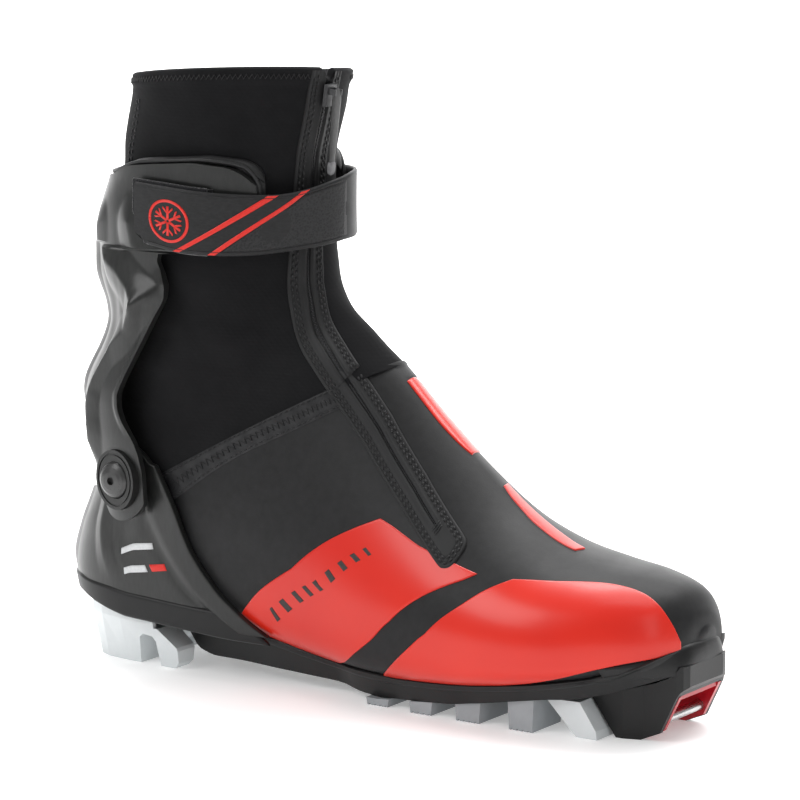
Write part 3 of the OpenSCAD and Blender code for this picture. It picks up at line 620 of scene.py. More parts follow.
def wrinkles(p):
    """Slow folds of the stretch fabric, where it bends over the ankle and under the strap."""
    x, y, z = p[..., 0], p[..., 1], p[..., 2]
    out = 0.45 * np.sin(z * 0.16 + 0.05 * y + 1.1 * np.sin(x * 0.045)) * ease(z, 100,
                                                                              135) * (1 - ease(z, 170, 184))
    out += 0.35 * np.sin(z * 0.29 + x * 0.07 + 2.0) * ease(z, 118, 140) * (1 - ease(z, 160, 176))
    out += 0.5 * np.sin(x * 0.12 + z * 0.1) * ease(z, 212, 222) * (1 - ease(z, 236, 246))
    return out


def ankle_blend(obj):
    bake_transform(obj)


GAITER_INSIDE, LINING_INSIDE, HEM_SECTION = -2.3, -2.4, 17.88


def make_upper():
    t = np.concatenate([np.linspace(0, 0.22, 16)[:-1], np.linspace(0.22, 1, 110)])
    seam = seam_at(ANGLES) + 0.06
    s = seam[None, :] * t[:, None]
    pts = skin(s, ANGLES[None, :])
    # The toe is closed with a rounded end that the toe bumper covers.
    mid = pts[0].mean(0)
    nose = [mid + (pts[0] - mid) * k + [1 - k * k, 0, 0] for k in (0.0, 0.35, 0.6, 0.8, 0.93)]
    obj = grid_object("upper", np.concatenate([np.array(nose), pts]), wrap=True)
    finish_piece(obj, "boot", "upper_black", nodes=("vamp",))


def make_gaiter():
    rows = 150
    lo = seam_at(ANGLES) - 0.1

    def rows_of(t):
        s = lo[None, :] + (LAST - lo[None, :]) * t[:, None]
        return s, np.broadcast_to(ANGLES[None, :], s.shape)
    # The hem at the top: a folded band 6 mm deep, stepped a little outwards.
    s, a = rows_of(np.linspace(0, 1, rows))
    hem = 0.55 * (1 - ease(LAST - s, 0.17, 0.2))
    outer = collar_shape(on_skin(s, a, 0.5 + hem + wrinkles(skin(s, a))), s, a)
    # The inner face, down to the seam.
    s, a = rows_of(np.linspace(1, 0, 46))
    inner = collar_shape(on_skin(s, a, np.full(s.shape, GAITER_INSIDE)), s, a)
    lip = []
    for k in (0.3, 0.6, 0.85):
        edge = outer[-1] * (1 - k) + inner[0] * k
        edge[:, 2] += 0.9 * math.sin(math.pi * k)
        lip.append(edge)
    pts = np.concatenate([outer, np.array(lip), inner])
    obj = grid_object("gaiter", pts, wrap=True)
    finish_piece(obj, ankle_blend, "gaiter_neoprene",
                 nodes=("ankle_gaiter", "gaiter_flex", "collar_gaiter", "collar_binding"))
    obj.data.materials.append(MATS["lining_mesh"])
    m = len(ANGLES)
    for f, poly in enumerate(obj.data.polygons):
        if f // m >= rows + len(lip):
            poly.material_index = 1
    # The hem's zigzag, and the seam that runs down behind the outer ankle.
    a = np.linspace(22, 340, 230)
    s = HEM_SECTION + 0.035 * np.where(np.arange(len(a)) % 2, 1.0, -1.0)
    path = collar_shape(on_skin(s, a, 1.2 + wrinkles(skin(s, a))), s, a)
    finish_piece(tube("hem_zigzag", path, 0.28), ankle_blend, "thread_black")
    s = np.linspace(15.6, 17.75, 90)
    for k, spread in enumerate((-0.9, 0.9)):
        a = 128 + spread * 2.2 + (17.8 - s) * 1.5
        obj = stitches(f"collar_seam_{k}", on_skin(s, a, 0.55 + wrinkles(skin(s, a))), skin_normal(s, a),
                       2.2, 0.9, 0.3)
        finish_piece(obj, ankle_blend, "thread_black")


def make_lining():
    """The inside of the shoe below the seam, seen down the shaft."""
    a = ANGLES[::3]
    s = seam_at(a)[None, :] * np.linspace(0.1, 1.02, 40)[:, None]
    pts = on_skin(s, np.broadcast_to(a[None, :], s.shape), np.full(s.shape, LINING_INSIDE))
    finish_piece(grid_object("lining", pts, wrap=True, turn=True), "boot", "lining_mesh")


# A patch on the skin between four edges given as (s, a) points, thinned to nothing at its border.
def resample(points, n):
    pts = np.asarray(points, float)
    xyz = skin(pts[:, 0], pts[:, 1])
    run = run_along(xyz)
    run /= run[-1]
    return np.stack([np.interp(n, run, pts[:, 0]), np.interp(n, run, pts[:, 1])], -1)


def rounded_line(points, steps=14):
    """A smooth line through (s, a) points."""
    pts = np.asarray(points, float)
    return spline(pts, np.linspace(0, len(pts) - 1, (len(pts) - 1) * steps + 1))


def coons(top, bottom, left, right, nu, nv):
    """Fills (s, a) between four lines: top and bottom run left to right, left and right run top to bottom."""
    def spread(n):
        t = np.linspace(0, 1, n)
        return np.concatenate([[0, 0.25 / n, 0.6 / n], t[1:-1], [1 - 0.6 / n, 1 - 0.25 / n, 1]])
    u, v = spread(nu), spread(nv)
    T, B = resample(top, u), resample(bottom, u)
    L, R = resample(left, v), resample(right, v)
    U, V = u[None, :, None], v[:, None, None]
    c00, c10, c01, c11 = T[0], T[-1], B[0], B[-1]
    grid = ((1 - V) * T[None] + V * B[None] + (1 - U) * L[:, None] + U * R[:, None]
            - ((1 - U) * (1 - V) * c00 + U * (1 - V) * c10 + (1 - U) * V * c01 + U * V * c11))
    return grid


def rounded(distance, width):
    """The height, 0 to 1, of an edge rounded over a width, at a distance from it."""
    return np.sqrt(np.clip(1 - (1 - np.clip(distance / width, 0, 1)) ** 2, 0, 1))


def film(name, sides, lift, node, nu, nv, turn=False):
    """A bonded film with rounded edges, between four lines of (s, a) points."""
    grid = coons(*[rounded_line(side) for side in sides], nu, nv)
    s, a = grid[..., 0], grid[..., 1]
    p = skin(s, a)
    up = np.cumsum(np.linalg.norm(np.diff(p, axis=0, prepend=p[:1]), axis=-1), 0)
    left = np.cumsum(np.linalg.norm(np.diff(p, axis=1, prepend=p[:, :1]), axis=-1), 1)
    d = np.minimum(np.minimum(up, up[-1][None] - up), np.minimum(left, left[:, -1][:, None] - left))
    pts = on_skin(s, a, lift + FILM_THICK * rounded(d, FILM_EDGE) - FILM_TUCK * (d < 1e-6))
    finish_piece(grid_object(name, pts, turn=turn), "boot", "overlay_red", nodes=(node,))


QUARTER = dict(
    top=[(5.67, 51), (5.9, 51.8), (6.15, 52.8), (6.4, 54), (6.62, 55.2), (6.83, 56.3), (7.08, 56.6),
         (7.36, 57), (7.62, 58)],
    bottom=[(7.5, 144), (7.75, 145.5), (8.0, 146), (8.3, 146), (8.6, 145), (8.95, 133)],
    left=[(5.67, 51), (5.84, 57.5), (6.05, 64), (6.38, 75), (6.64, 86), (6.77, 95), (6.9, 109), (7.11, 123),
          (7.28, 134), (7.5, 144)],
    right=[(7.62, 58), (7.78, 63), (7.96, 68.5), (8.22, 77), (8.43, 86), (8.62, 98), (8.78, 110),
           (8.87, 121), (8.95, 133)])
TOE = dict(
    top=[(5.04, 45), (4.7, 41), (4.26, 37), (3.85, 33), (3.45, 30.5), (3.0, 30), (2.7, 31), (2.37, 34),
         (1.9, 42),
         (1.44, 53), (1.15, 64), (0.95, 76)],
    bottom=[(6.75, 142), (6.2, 143), (5.64, 141), (4.9, 137), (4.23, 131), (3.6, 123), (3.0, 113.5),
            (2.28, 104), (1.5, 100), (0.9, 96)],
    left=[(5.04, 45), (5.38, 57), (5.67, 70), (5.92, 81), (6.12, 93), (6.27, 106), (6.42, 118), (6.58, 130),
          (6.75, 142)],
    right=[(0.95, 76), (0.92, 82), (0.9, 89), (0.9, 96)])


TOE_INNER = dict(
    top=[(5.04, 58), (4.7, 56), (4.26, 54), (3.85, 53), (3.45, 53), (3.0, 55), (2.7, 59), (2.4, 65),
         (2.15, 72),
         (1.95, 80), (1.85, 88)],
    bottom=[(6.45, 138), (5.64, 140), (4.9, 136), (4.23, 130), (3.6, 122), (3.0, 112), (2.6, 104), (2.2, 98),
            (1.95, 94)],
    left=[(5.04, 58), (5.38, 65), (5.67, 74), (5.93, 84), (6.14, 95), (6.3, 108), (6.42, 122), (6.45, 138)],
    right=[(1.85, 88), (1.88, 90), (1.91, 92), (1.95, 94)])


# The two instep films: their top, bottom, left and right lines, height over the skin and grid.
INSTEP = dict(
    upper=([(8.79, 5), (8.81, 0), (8.82, -6), (8.82, -13)], [(7.17, 1), (7.2, -4), (7.23, -9), (7.26, -14)],
           [(8.79, 5), (8.3, 5), (7.8, 5), (7.4, 3.4), (7.17, 1)],
           [(8.82, -13), (8.3, -13.3), (7.8, -13.6), (7.26, -14)], 24, 30),
    lower=([(6.51, -3), (6.53, -5), (6.55, -7.5), (6.57, -10)], [(4.59, 7), (4.56, 4), (4.54, 2), (4.53, 0)],
           [(6.51, -3), (6.28, -0.6), (5.97, 1), (5.7, 3), (5.46, 4), (5.1, 5.6), (4.8, 6.6), (4.59, 7)],
           [(6.57, -10), (6.1, -9.2), (5.6, -7), (5.1, -4), (4.8, -1.8), (4.53, 0)], 16, 40))
FILM_THICK, FILM_EDGE, FILM_TUCK = 0.5, 0.7, 0.35


def make_overlays():
    """The red films. Those on the sides reach down under the rand."""
    for name, side, spec in (("quarter", "outer", QUARTER), ("toe", "outer", TOE),
                             ("quarter", "inner", QUARTER),
                             ("toe", "inner", TOE_INNER)):
        turn = 1 if side == "outer" else -1
        sides = [[(s, turn * a) for s, a in spec[key]] for key in ("top", "bottom", "left", "right")]
        film(f"{name}_film_{side}", sides, 0.12, f"{name}_overlay_{side}", 70, 56, turn=(side == "outer"))
    for name, (*sides, nu, nv) in INSTEP.items():
        film(f"instep_film_{name}", sides, 0.1, f"instep_patch_{name}", nu, nv)


TAPE_ROWS = 130
TAPE_ZIGZAGS = 118


def make_seam_tape():
    """The welded tape over the seam, with a zigzag down its middle and a straight row along each edge. The inner one
    runs over the instep, where it thins to a smooth fillet under the gaiter's edge."""
    k = np.linspace(0, 1, 9)
    for name, start, end in (("outer", 36, 128), ("inner", 16.5, -128)):
        outer = name == "outer"
        a = np.linspace(start, end, TAPE_ROWS)
        base = seam_at(a)
        upper, lower = base - 0.02, base - (0.42 + 0.2 * ease(np.abs(a), 40, 90))
        s = lower[:, None] * (1 - k) + upper[:, None] * k
        thin = (np.ones(TAPE_ROWS) if outer else ease(start - a, 0, 34))[:, None]
        h = (0.15 + 0.55 * rounded(np.minimum(k, 1 - k), 0.1))[None, :] * thin - 0.25 * (1 - thin)
        pts = on_skin(s, np.broadcast_to(a[:, None], s.shape), h + 0.75 * ease(k, 0.7, 1.0)[None, :])
        finish_piece(grid_object(f"seam_tape_{name}_strip", pts, turn=outer), "boot", "seam_film",
                     nodes=(f"seam_tape_{name}",))

        def across(j, q):
            """Sections and angles on the tape at row j, q of the way from its lower edge to its upper."""
            rows = np.arange(TAPE_ROWS)
            return np.interp(j, rows, lower) * (1 - q) + np.interp(j, rows, upper) * q, np.interp(j, rows, a)
        i = np.arange(0 if outer else (34), TAPE_ZIGZAGS)
        zs, za = across((i + 0.5) / TAPE_ZIGZAGS * (TAPE_ROWS - 1), np.where(i % 2, 0.34, 0.62))
        path = on_skin(zs, za, np.full(len(zs), 0.78))
        finish_piece(tube(f"seam_zigzag_{name}", path, 0.26), "boot", "thread_black")
        for q, lift in ((0.9, 1.3), (0.1, 0.7)):
            sv, av = across((np.linspace(start if outer else -24, end,
                                         300) - start) / (end - start) * (TAPE_ROWS - 1), q)
            obj = stitches(f"seam_row_{name}_{int(q * 10)}", on_skin(sv, av, np.full(300, lift)),
                           skin_normal(sv, av), 1.9, 0.8, 0.22)
            finish_piece(obj, "boot", "thread_black")


# ---------------------------------------------------------------- the zip
def beside_zip(s, mm):
    """The (s, a) point at a distance to one side of the zip's line."""
    s = np.asarray(s, float)
    a = zip_a(s)
    per = np.linalg.norm(skin(s, a + 1) - skin(s, a - 1), axis=-1) / 2
    return s, a + mm / per


ZIP_FOOT, ZIP_OUT, ZIP_IN, ZIP_BOW = 6.45, 8.8, 8.2, 8.5
FOOT_STEP = float(np.linalg.norm(skin(ZIP_FOOT + 0.5, 48.0) - skin(ZIP_FOOT - 0.5, 48.0)))


def zip_base(s, a, upper):
    return 0.5 + wrinkles(skin(s, a)) if upper else np.zeros(np.shape(s))


def zip_slit(s):
    """Half the width of the open slit: it gapes a little over the ankle and at the collar."""
    return lookup(s, [[6.9, 0.3], [8.8, 0.35], [9.7, 0.7], [10.8, 1.15], [12.2, 0.6], [14, 0.45],
                      [16.6, 0.5], [17.6, 1.3],
                      [18, 1.8]])


def make_zip_cover(upper):
    """The welded cover over the zip, rounded at its edges and foot, with stitch channels, lips and a slit."""
    fine = 1
    out_mm = np.concatenate([[0, 0.15, 0.4, 0.8, 1.2, 1.6], np.arange(1.9, 5.0, 0.3 * fine),
                             [5.4, 6.0, 6.5, 6.9, 7.2]])
    out_mm = np.concatenate([ZIP_OUT - out_mm, [1.3, 1.0, 0.8, 0.6, 0.45, 0.3, 0.12]])
    cols = np.concatenate([out_mm, [0], -out_mm[::-1][:7], -(ZIP_IN / ZIP_OUT) * out_mm[::-1][7:]])
    top = float(LAST) if upper else 9.78
    s = np.linspace(9.5 if upper else ZIP_FOOT, top, (260 if upper else 96) // fine)
    along = np.zeros(len(s))
    if not upper:
        along = np.concatenate([ZIP_BOW * np.linspace(1, 0, 25)[:-1] ** 0.6, along])
        s = np.concatenate([ZIP_FOOT - along[:24] / FOOT_STEP, s])
    shrink = np.clip(1 - (along / ZIP_BOW) ** 3, 0, 1) ** (1 / 3)
    D = cols[None, :] * shrink[:, None]
    S = np.broadcast_to(s[:, None], D.shape)
    _, A = beside_zip(S, D)
    half = np.where(D > 0, ZIP_OUT, ZIP_IN)
    inside = (np.abs(D / half) ** 3 + np.abs(along[:, None] / ZIP_BOW) ** 3) ** (1 / 3)
    e = np.maximum(half * (1 - inside), 0)
    h = rounded(e, 0.9)
    h -= 0.36 * np.exp(-((e - 2.0) / 0.5) ** 2) + 0.32 * np.exp(-((e - 3.6) / 0.5) ** 2)
    h += 0.45 * np.exp(-((np.abs(D) - 1.9) / 0.9) ** 2) * ease(S, 6.5, 7.0)
    w = zip_slit(S)
    cut = (1 - ease(np.abs(D), w, w + 0.3)) * ease(S, 6.72, 6.8)
    h = h * (1 - cut) + 0.1 * cut - 0.3 * (e < 0.01)
    if upper:
        h = h - 1.5 * (1 - ease(S, 9.5, 9.53))
    pts = on_skin(S, A, zip_base(S, A, upper) + h)
    if upper:
        pts = collar_shape(pts, S, A)
    name = "zip_cover_upper" if upper else "zip_cover_lower"
    obj = grid_object(name, pts)
    obj.data.flip_normals()
    finish_piece(obj, ankle_blend if upper else "boot", "zip_cover",
                 nodes=("zip_tape_upper",) if upper else ("zip_tape_lower",))
    obj.data.materials.append(MATS["zip_coil"])
    m = len(cols) - 1
    deep = (cut[:-1, :-1] + cut[1:, 1:]) > 1.6
    for f, poly in enumerate(obj.data.polygons):
        if deep[f // m, f % m]:
            poly.material_index = 1


def make_zip():
    make_zip_cover(False)
    make_zip_cover(True)
    # Two stitch rows each side of the slit, joined round the foot.
    for k, inset in enumerate((2.0, 3.6)):
        wo, wi, bow = ZIP_OUT - inset, ZIP_IN - inset, ZIP_BOW - inset
        t = np.linspace(0, math.pi, 40)[1:-1]
        along = bow * np.sin(t) ** (2 / 3)
        side = np.sign(np.cos(t)) * np.abs(np.cos(t)) ** (2 / 3)
        foot_s, foot_a = beside_zip(ZIP_FOOT - along / FOOT_STEP, np.where(side > 0, side * wo, side * wi))
        for part, lo, hi in (("lower", ZIP_FOOT, 9.5), ("upper", 9.56, 17.96)):
            s = np.linspace(lo, hi, 300)
            runs = [np.stack(beside_zip(s, d), -1) for d in (wo, -wi)]
            if part == "lower":
                runs = [np.concatenate([runs[0][::-1], np.stack([foot_s, foot_a], -1), runs[1]])]
            for r, run in enumerate(runs):
                up = part == "upper"
                rs, ra = run[:, 0], run[:, 1]
                pts = on_skin(rs, ra, zip_base(rs, ra, up) + 0.72)
                if up:
                    pts = collar_shape(pts, rs, ra)
                obj = stitches(f"zip_stitch_{part}_{k}_{r}", pts, skin_normal(rs, ra), 1.9, 0.8, 0.38)
                finish_piece(obj, ankle_blend if up else "boot", "thread_black")
    # The coil down in the slit: one row of teeth on each tape, meshing in the middle.
    for label, lo, hi, upper, nodes in (("lower", 6.8, 9.7, False, ("zip_coil_lower",)),
                                        ("upper", 9.7, 17.6, True, ("zip_coil_upper",))):
        s = np.linspace(lo, hi, 700)
        a = zip_a(s)
        p = on_skin(s, a, zip_base(s, a, upper) + 0.5)
        run = run_along(p)
        nor = skin_normal(s, a)
        f = np.arange(0.4, run[-1] - 0.5, 0.75)
        c = np.stack([np.interp(f, run, p[:, k]) for k in range(3)], -1)
        d = np.stack([np.interp(f + 0.3, run, p[:, k]) for k in range(3)], -1) - c
        d /= np.linalg.norm(d, axis=1)[:, None]
        n = np.stack([np.interp(f, run, nor[:, k]) for k in range(3)], -1)
        n /= np.linalg.norm(n, axis=1)[:, None]
        w = np.cross(n, d)
        reach = np.minimum(0.85, 0.55 * zip_slit(np.interp(f, run, s)))[:, None]
        c = c + w * np.where(np.arange(len(f)) % 2, 1, -1)[:, None] * reach * 0.35
        corners = [c + d * dd + w * dw * reach + n * dn for dn in (-0.3, 0.3)
                   for dd, dw in ((-0.27, -0.6), (0.27, -0.6), (0.27, 0.6), (-0.27, 0.6))]
        verts = np.stack(corners, 1).reshape(-1, 3)
        quads = ((0, 3, 2, 1), (4, 5, 6, 7), (0, 1, 5, 4), (1, 2, 6, 5), (2, 3, 7, 6), (3, 0, 4, 7))
        faces = [[8 * i + q for q in f4] for i in range(len(f)) for f4 in quads]
        obj = new_object(f"zip_teeth_{label}", verts, faces, smooth=False)
        finish_piece(obj, ankle_blend if upper else "boot", "zip_coil", nodes=nodes)
    # The bar tack at the foot of the slit.
    for k in range(3):
        sk, ak = beside_zip(np.full(9, 6.68 + 0.04 * k), np.linspace(-2.4, 2.4, 9))
        obj = tube(f"zip_tack_{k}", on_skin(sk, ak, 1.05), 0.35, 6)
        finish_piece(obj, "boot", "thread_black", nodes=("zip_stop",) if k == 0 else ())


def make_pull():
    """A grey rubbery strip that hangs from the slider, wide at the top and narrow at its foot."""
    lo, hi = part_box("zip_pull")
    lo, hi = np.array(lo) * 1000, np.array(hi) * 1000
    top = np.array([hi[0] - 0.9, (lo[1] + hi[1]) / 2, hi[2]])
    foot = np.array([lo[0] + 2.6, (lo[1] + hi[1]) / 2, lo[2]])
    d = foot - top
    length = float(np.linalg.norm(d))
    d /= length
    side = np.array([0, 1.0, 0])
    out = np.cross(side, d)
    out *= np.sign(out[0])
    turn = 2 * math.pi * np.arange(16) / 16
    for name, material, rows in (
            ("pull_strip", "pull_grey", [(0.0, 1.2, 0.5), (0.03, 2.1, 0.8), (0.12, 2.6, 0.85),
                                         (0.3, 2.5, 0.8),
                                         (0.55, 2.1, 0.75), (0.8, 1.6, 0.75), (0.86, 1.5, 0.8)]),
            ("pull_tip", "pull_pale", [(0.84, 1.0, 0.7), (0.86, 1.8, 1.05), (0.9, 2.0, 1.15),
                                       (0.96, 1.9, 1.1),
                                       (0.99, 1.5, 0.9), (1.0, 0.8, 0.5)])):
        cx, sx = np.cos(turn), np.sin(turn)
        cx, sx = np.sign(cx) * np.abs(cx) ** 0.55, np.sign(sx) * np.abs(sx) ** 0.55
        rings = [top + d * length * t + cx[:, None] * side * w + sx[:, None] * out * th for t, w, th in rows]
        obj = grid_object(name, np.array(rings), wrap=True)
        close_ends(obj, len(rows), 16)
        smooth_by_angle(obj, 50)
        finish_piece(obj, "zip_pull", material,
                     nodes=("zip_pull",) if name == "pull_strip" else ())


# ---------------------------------------------------------------- the heel counter
def oval(middle, rear, front, wide, n, phi):
    """A point of a level outline, turned phi from its rear."""
    c, sn = np.cos(phi), np.sin(phi)
    reach = np.where(c > 0, rear, front)
    return (middle - reach * np.sign(c) * np.abs(c) ** (2 / n), -wide * np.sign(phi) * np.abs(sn) ** (2 / n))


def turn_at(middle, rear, front, n, x):
    """The turn at which that outline reaches x."""
    d = middle - x
    reach = np.where(d > 0, rear, front)
    return np.arccos(np.sign(d) * np.minimum(1, np.abs(d) / reach) ** (n / 2))


COUNTER_REAR = [[18, -144], [30, -149], [38, -151.5], [46, -151], [58, -146.6], [70, -141.2], [84, -135.5],
                [100, -133]]
COUNTER_MID = [[18, -106], [60, -100], [72, -92], [100, -90]]
COUNTER_WIDE = [[18, 38.6], [30, 38.8], [50, 38.6], [62, 38.6], [72, 39], [84, 40], [90, 39.8], [98, 38.4]]
COUNTER_FRONT = [[18, -32], [20, -34], [26, -44], [37, -58], [46, -66], [54, -72], [62, -76], [70, -79],
                 [83, -85],
                 [90, -89], [96, -95], [100, -98]]
COUNTER_FOOT = [[0, 30], [0.45, 29.5], [0.7, 25], [0.9, 20.5], [1, 19.5]]
COUNTER_TOP = [[0, 70], [0.22, 71], [0.4, 73.5], [0.52, 78], [0.6, 85], [0.68, 92], [0.78, 96.5], [0.9, 96],
               [0.96, 93], [1, 88]]


def soft(x, rows, width):
    """A lookup with its corners rounded over a width."""
    x = np.asarray(x, float)
    return (lookup(x - width, rows) + 2 * lookup(x - width / 2, rows) + 2 * lookup(x, rows)
            + 2 * lookup(x + width / 2, rows) + lookup(x + width, rows)) / 8


def counter_point(u, t, inset):
    """The counter: u from -1 to 1 round the heel, t from its foot to its top."""
    v = np.abs(u)
    z = soft(v, COUNTER_FOOT, 0.02) * (1 - t) + soft(v, COUNTER_TOP, 0.02) * t
    middle = soft(z, COUNTER_MID, 4)
    rear = middle - soft(z, COUNTER_REAR, 4) - inset
    front = 120 - inset
    n = 2.25
    phi = v * turn_at(middle, rear, front, n, soft(z, COUNTER_FRONT, 2.5))
    x, y = oval(middle, rear, front, soft(z, COUNTER_WIDE, 3) - inset, n,
                np.where(u < 0, 1, -1) * np.maximum(phi, 1e-5))
    return np.stack([x, y, z], -1)


COUNTER_THICK = 2.2


def make_counter():
    def relief(u, t):
        v = np.abs(u)
        flange = 1.0 * ease(v, 0.935, 0.95) - 0.5 * np.exp(-((v - 0.925) / 0.012) ** 2)
        line = lookup(t, [[0.1, 0.74], [0.29, 0.71], [0.69, 0.66], [0.9, 0.63]])
        crease = 1.3 * np.clip(1 - np.abs(v - line) / 0.07, 0, 1) * ease(t, 0.12,
                                                                         0.4) * (1 - ease(t, 0.72, 0.95))
        spine = 1.0 * np.clip(1 - np.abs(v - 0.3) / 0.08, 0, 1) * ease(t, 0.1, 0.35)
        hollow = -0.8 * np.exp(-((v - 0.83) / 0.06) ** 2) * ease(t, 0.25, 0.5)
        return flange + crease + spine + hollow
    U, T = np.meshgrid(np.linspace(-1, 1, 190),
                       np.linspace(0.02, 1, 60))
    obj = wall("counter", counter_point(U, T, -relief(U, T)), counter_point(U, T, COUNTER_THICK))
    bevel(obj, 0.7, 3, 60)
    finish_piece(obj, "boot", "shell_carbon", nodes=("heel_counter",))
    # The rubber band that the shell is moulded into at its foot.
    foot, top = -0.03, 0.135
    U, T = np.meshgrid(np.linspace(-0.985, 0.985, 150), np.linspace(foot, top, 16))
    edge = np.minimum(T - foot, top - T) * 50
    swell = 0.95 * rounded(edge, 1.0) - 0.15
    obj = wall("heel_band", counter_point(U, T, -swell), counter_point(U, T, 1.0))
    finish_piece(obj, "boot", "sole_rubber")
    # Plain printed bars.
    for name, material, u0, u1, t0, t1 in (("long", "print_white", -0.81, -0.915, 0.352, 0.388),
                                           ("short", "print_white", -0.81, -0.872, 0.24, 0.278),
                                           ("end", "print_red", -0.882, -0.915, 0.24, 0.278)):
        rows = []
        for f in np.linspace(0, 1, 4):
            u = np.linspace(u0, u1, 14)
            rise = 0.075 * (u + 0.81) / -0.1
            rows.append(np.stack([u - 0.004 * f, t0 + (t1 - t0) * f + rise], -1))
        g = np.array(rows)
        lift = -relief(g[..., 0], g[..., 1])
        obj = wall(f"heel_bar_{name}", counter_point(g[..., 0], g[..., 1], lift - 0.18),
                   counter_point(g[..., 0], g[..., 1], lift + 0.3))
        finish_piece(obj, "boot", material)


# ---------------------------------------------------------------- the cuff
CUFF_REAR = [[60, -131], [76, -133.5], [90, -138], [100, -141], [113, -143], [120, -141.4], [126, -138],
             [134, -132.4],
             [140, -129], [147, -126.5], [154, -128], [160, -131.5], [166, -134.5], [186, -135], [194, -134],
             [201, -130.6], [207, -127.6], [220, -127]]
CUFF_MID = [[60, -90], [104, -90], [130, -91], [165, -88], [180, -86], [217, -84]]
CUFF_NOSE = [[60, 52], [130, 53], [165, 60], [217, 60]]
CUFF_WIDE = [[60, 47], [100, 47], [118, 45.6], [140, 43.6], [165, 42.8], [180, 43.2], [217, 44]]
CUFF_FRONT = [[60, -89], [74, -89], [87, -90], [94, -92], [99, -94.5], [107, -101], [112, -103.5],
              [118, -104],
              [124, -101], [131, -97], [145, -89], [159, -81], [165, -80], [171, -82], [175, -84], [178, -83],
              [180, -43], [205, -41], [209, -41.5], [220, -44]]
CUFF_FOOT = [[0, 106], [0.12, 104], [0.25, 99], [0.38, 92], [0.48, 86], [0.535, 80], [0.6, 72], [0.7, 66],
             [0.82, 64],
             [0.93, 66], [1, 72]]
CUFF_TOP = [[0, 206], [0.25, 206.6], [0.4, 208.6], [0.55, 213.4], [0.8, 216.5], [0.92, 215], [0.97, 212],
            [1, 207]]


def cuff_height(v, level):
    foot, top = soft(v, CUFF_FOOT, 0.02), soft(v, CUFF_TOP, 0.02)
    low = foot + (level - 64) / 46 * (110 - foot)
    high = 190 + (level - 190) / 27 * (top - 190)
    return np.where(level < 110, low, np.where(level > 190, high, level))


def cuff_at(u, z, inset, edge):
    """The cuff: u from -1 to 1 round the back, edge the x of its front edge."""
    middle = soft(z, CUFF_MID, 5)
    rear = middle - soft(z, CUFF_REAR, 3) - inset
    front = lookup(z, CUFF_NOSE) - inset
    n = 2.2
    phi = np.abs(u) * turn_at(middle, rear, front, n, edge)
    x, y = oval(middle, rear, front, soft(z, CUFF_WIDE, 4) - inset, n,
                np.where(u < 0, 1, -1) * np.maximum(phi, 1e-5))
    return np.stack([x, y, z], -1)


def cuff_edge(z):
    """The cuff's front edge, with its step under the wing."""
    low = soft(np.minimum(z, 177.9), CUFF_FRONT[:16], 1.2)
    high = soft(np.maximum(z, 180), CUFF_FRONT[16:], 1.5)
    k = ease(z, 178.0, 180.0)
    return low * (1 - k) + high * k


PIVOT_X, PIVOT_Z, BOSS_RADIUS, CUFF_THICK = -104, 82, 17.3, 2.8


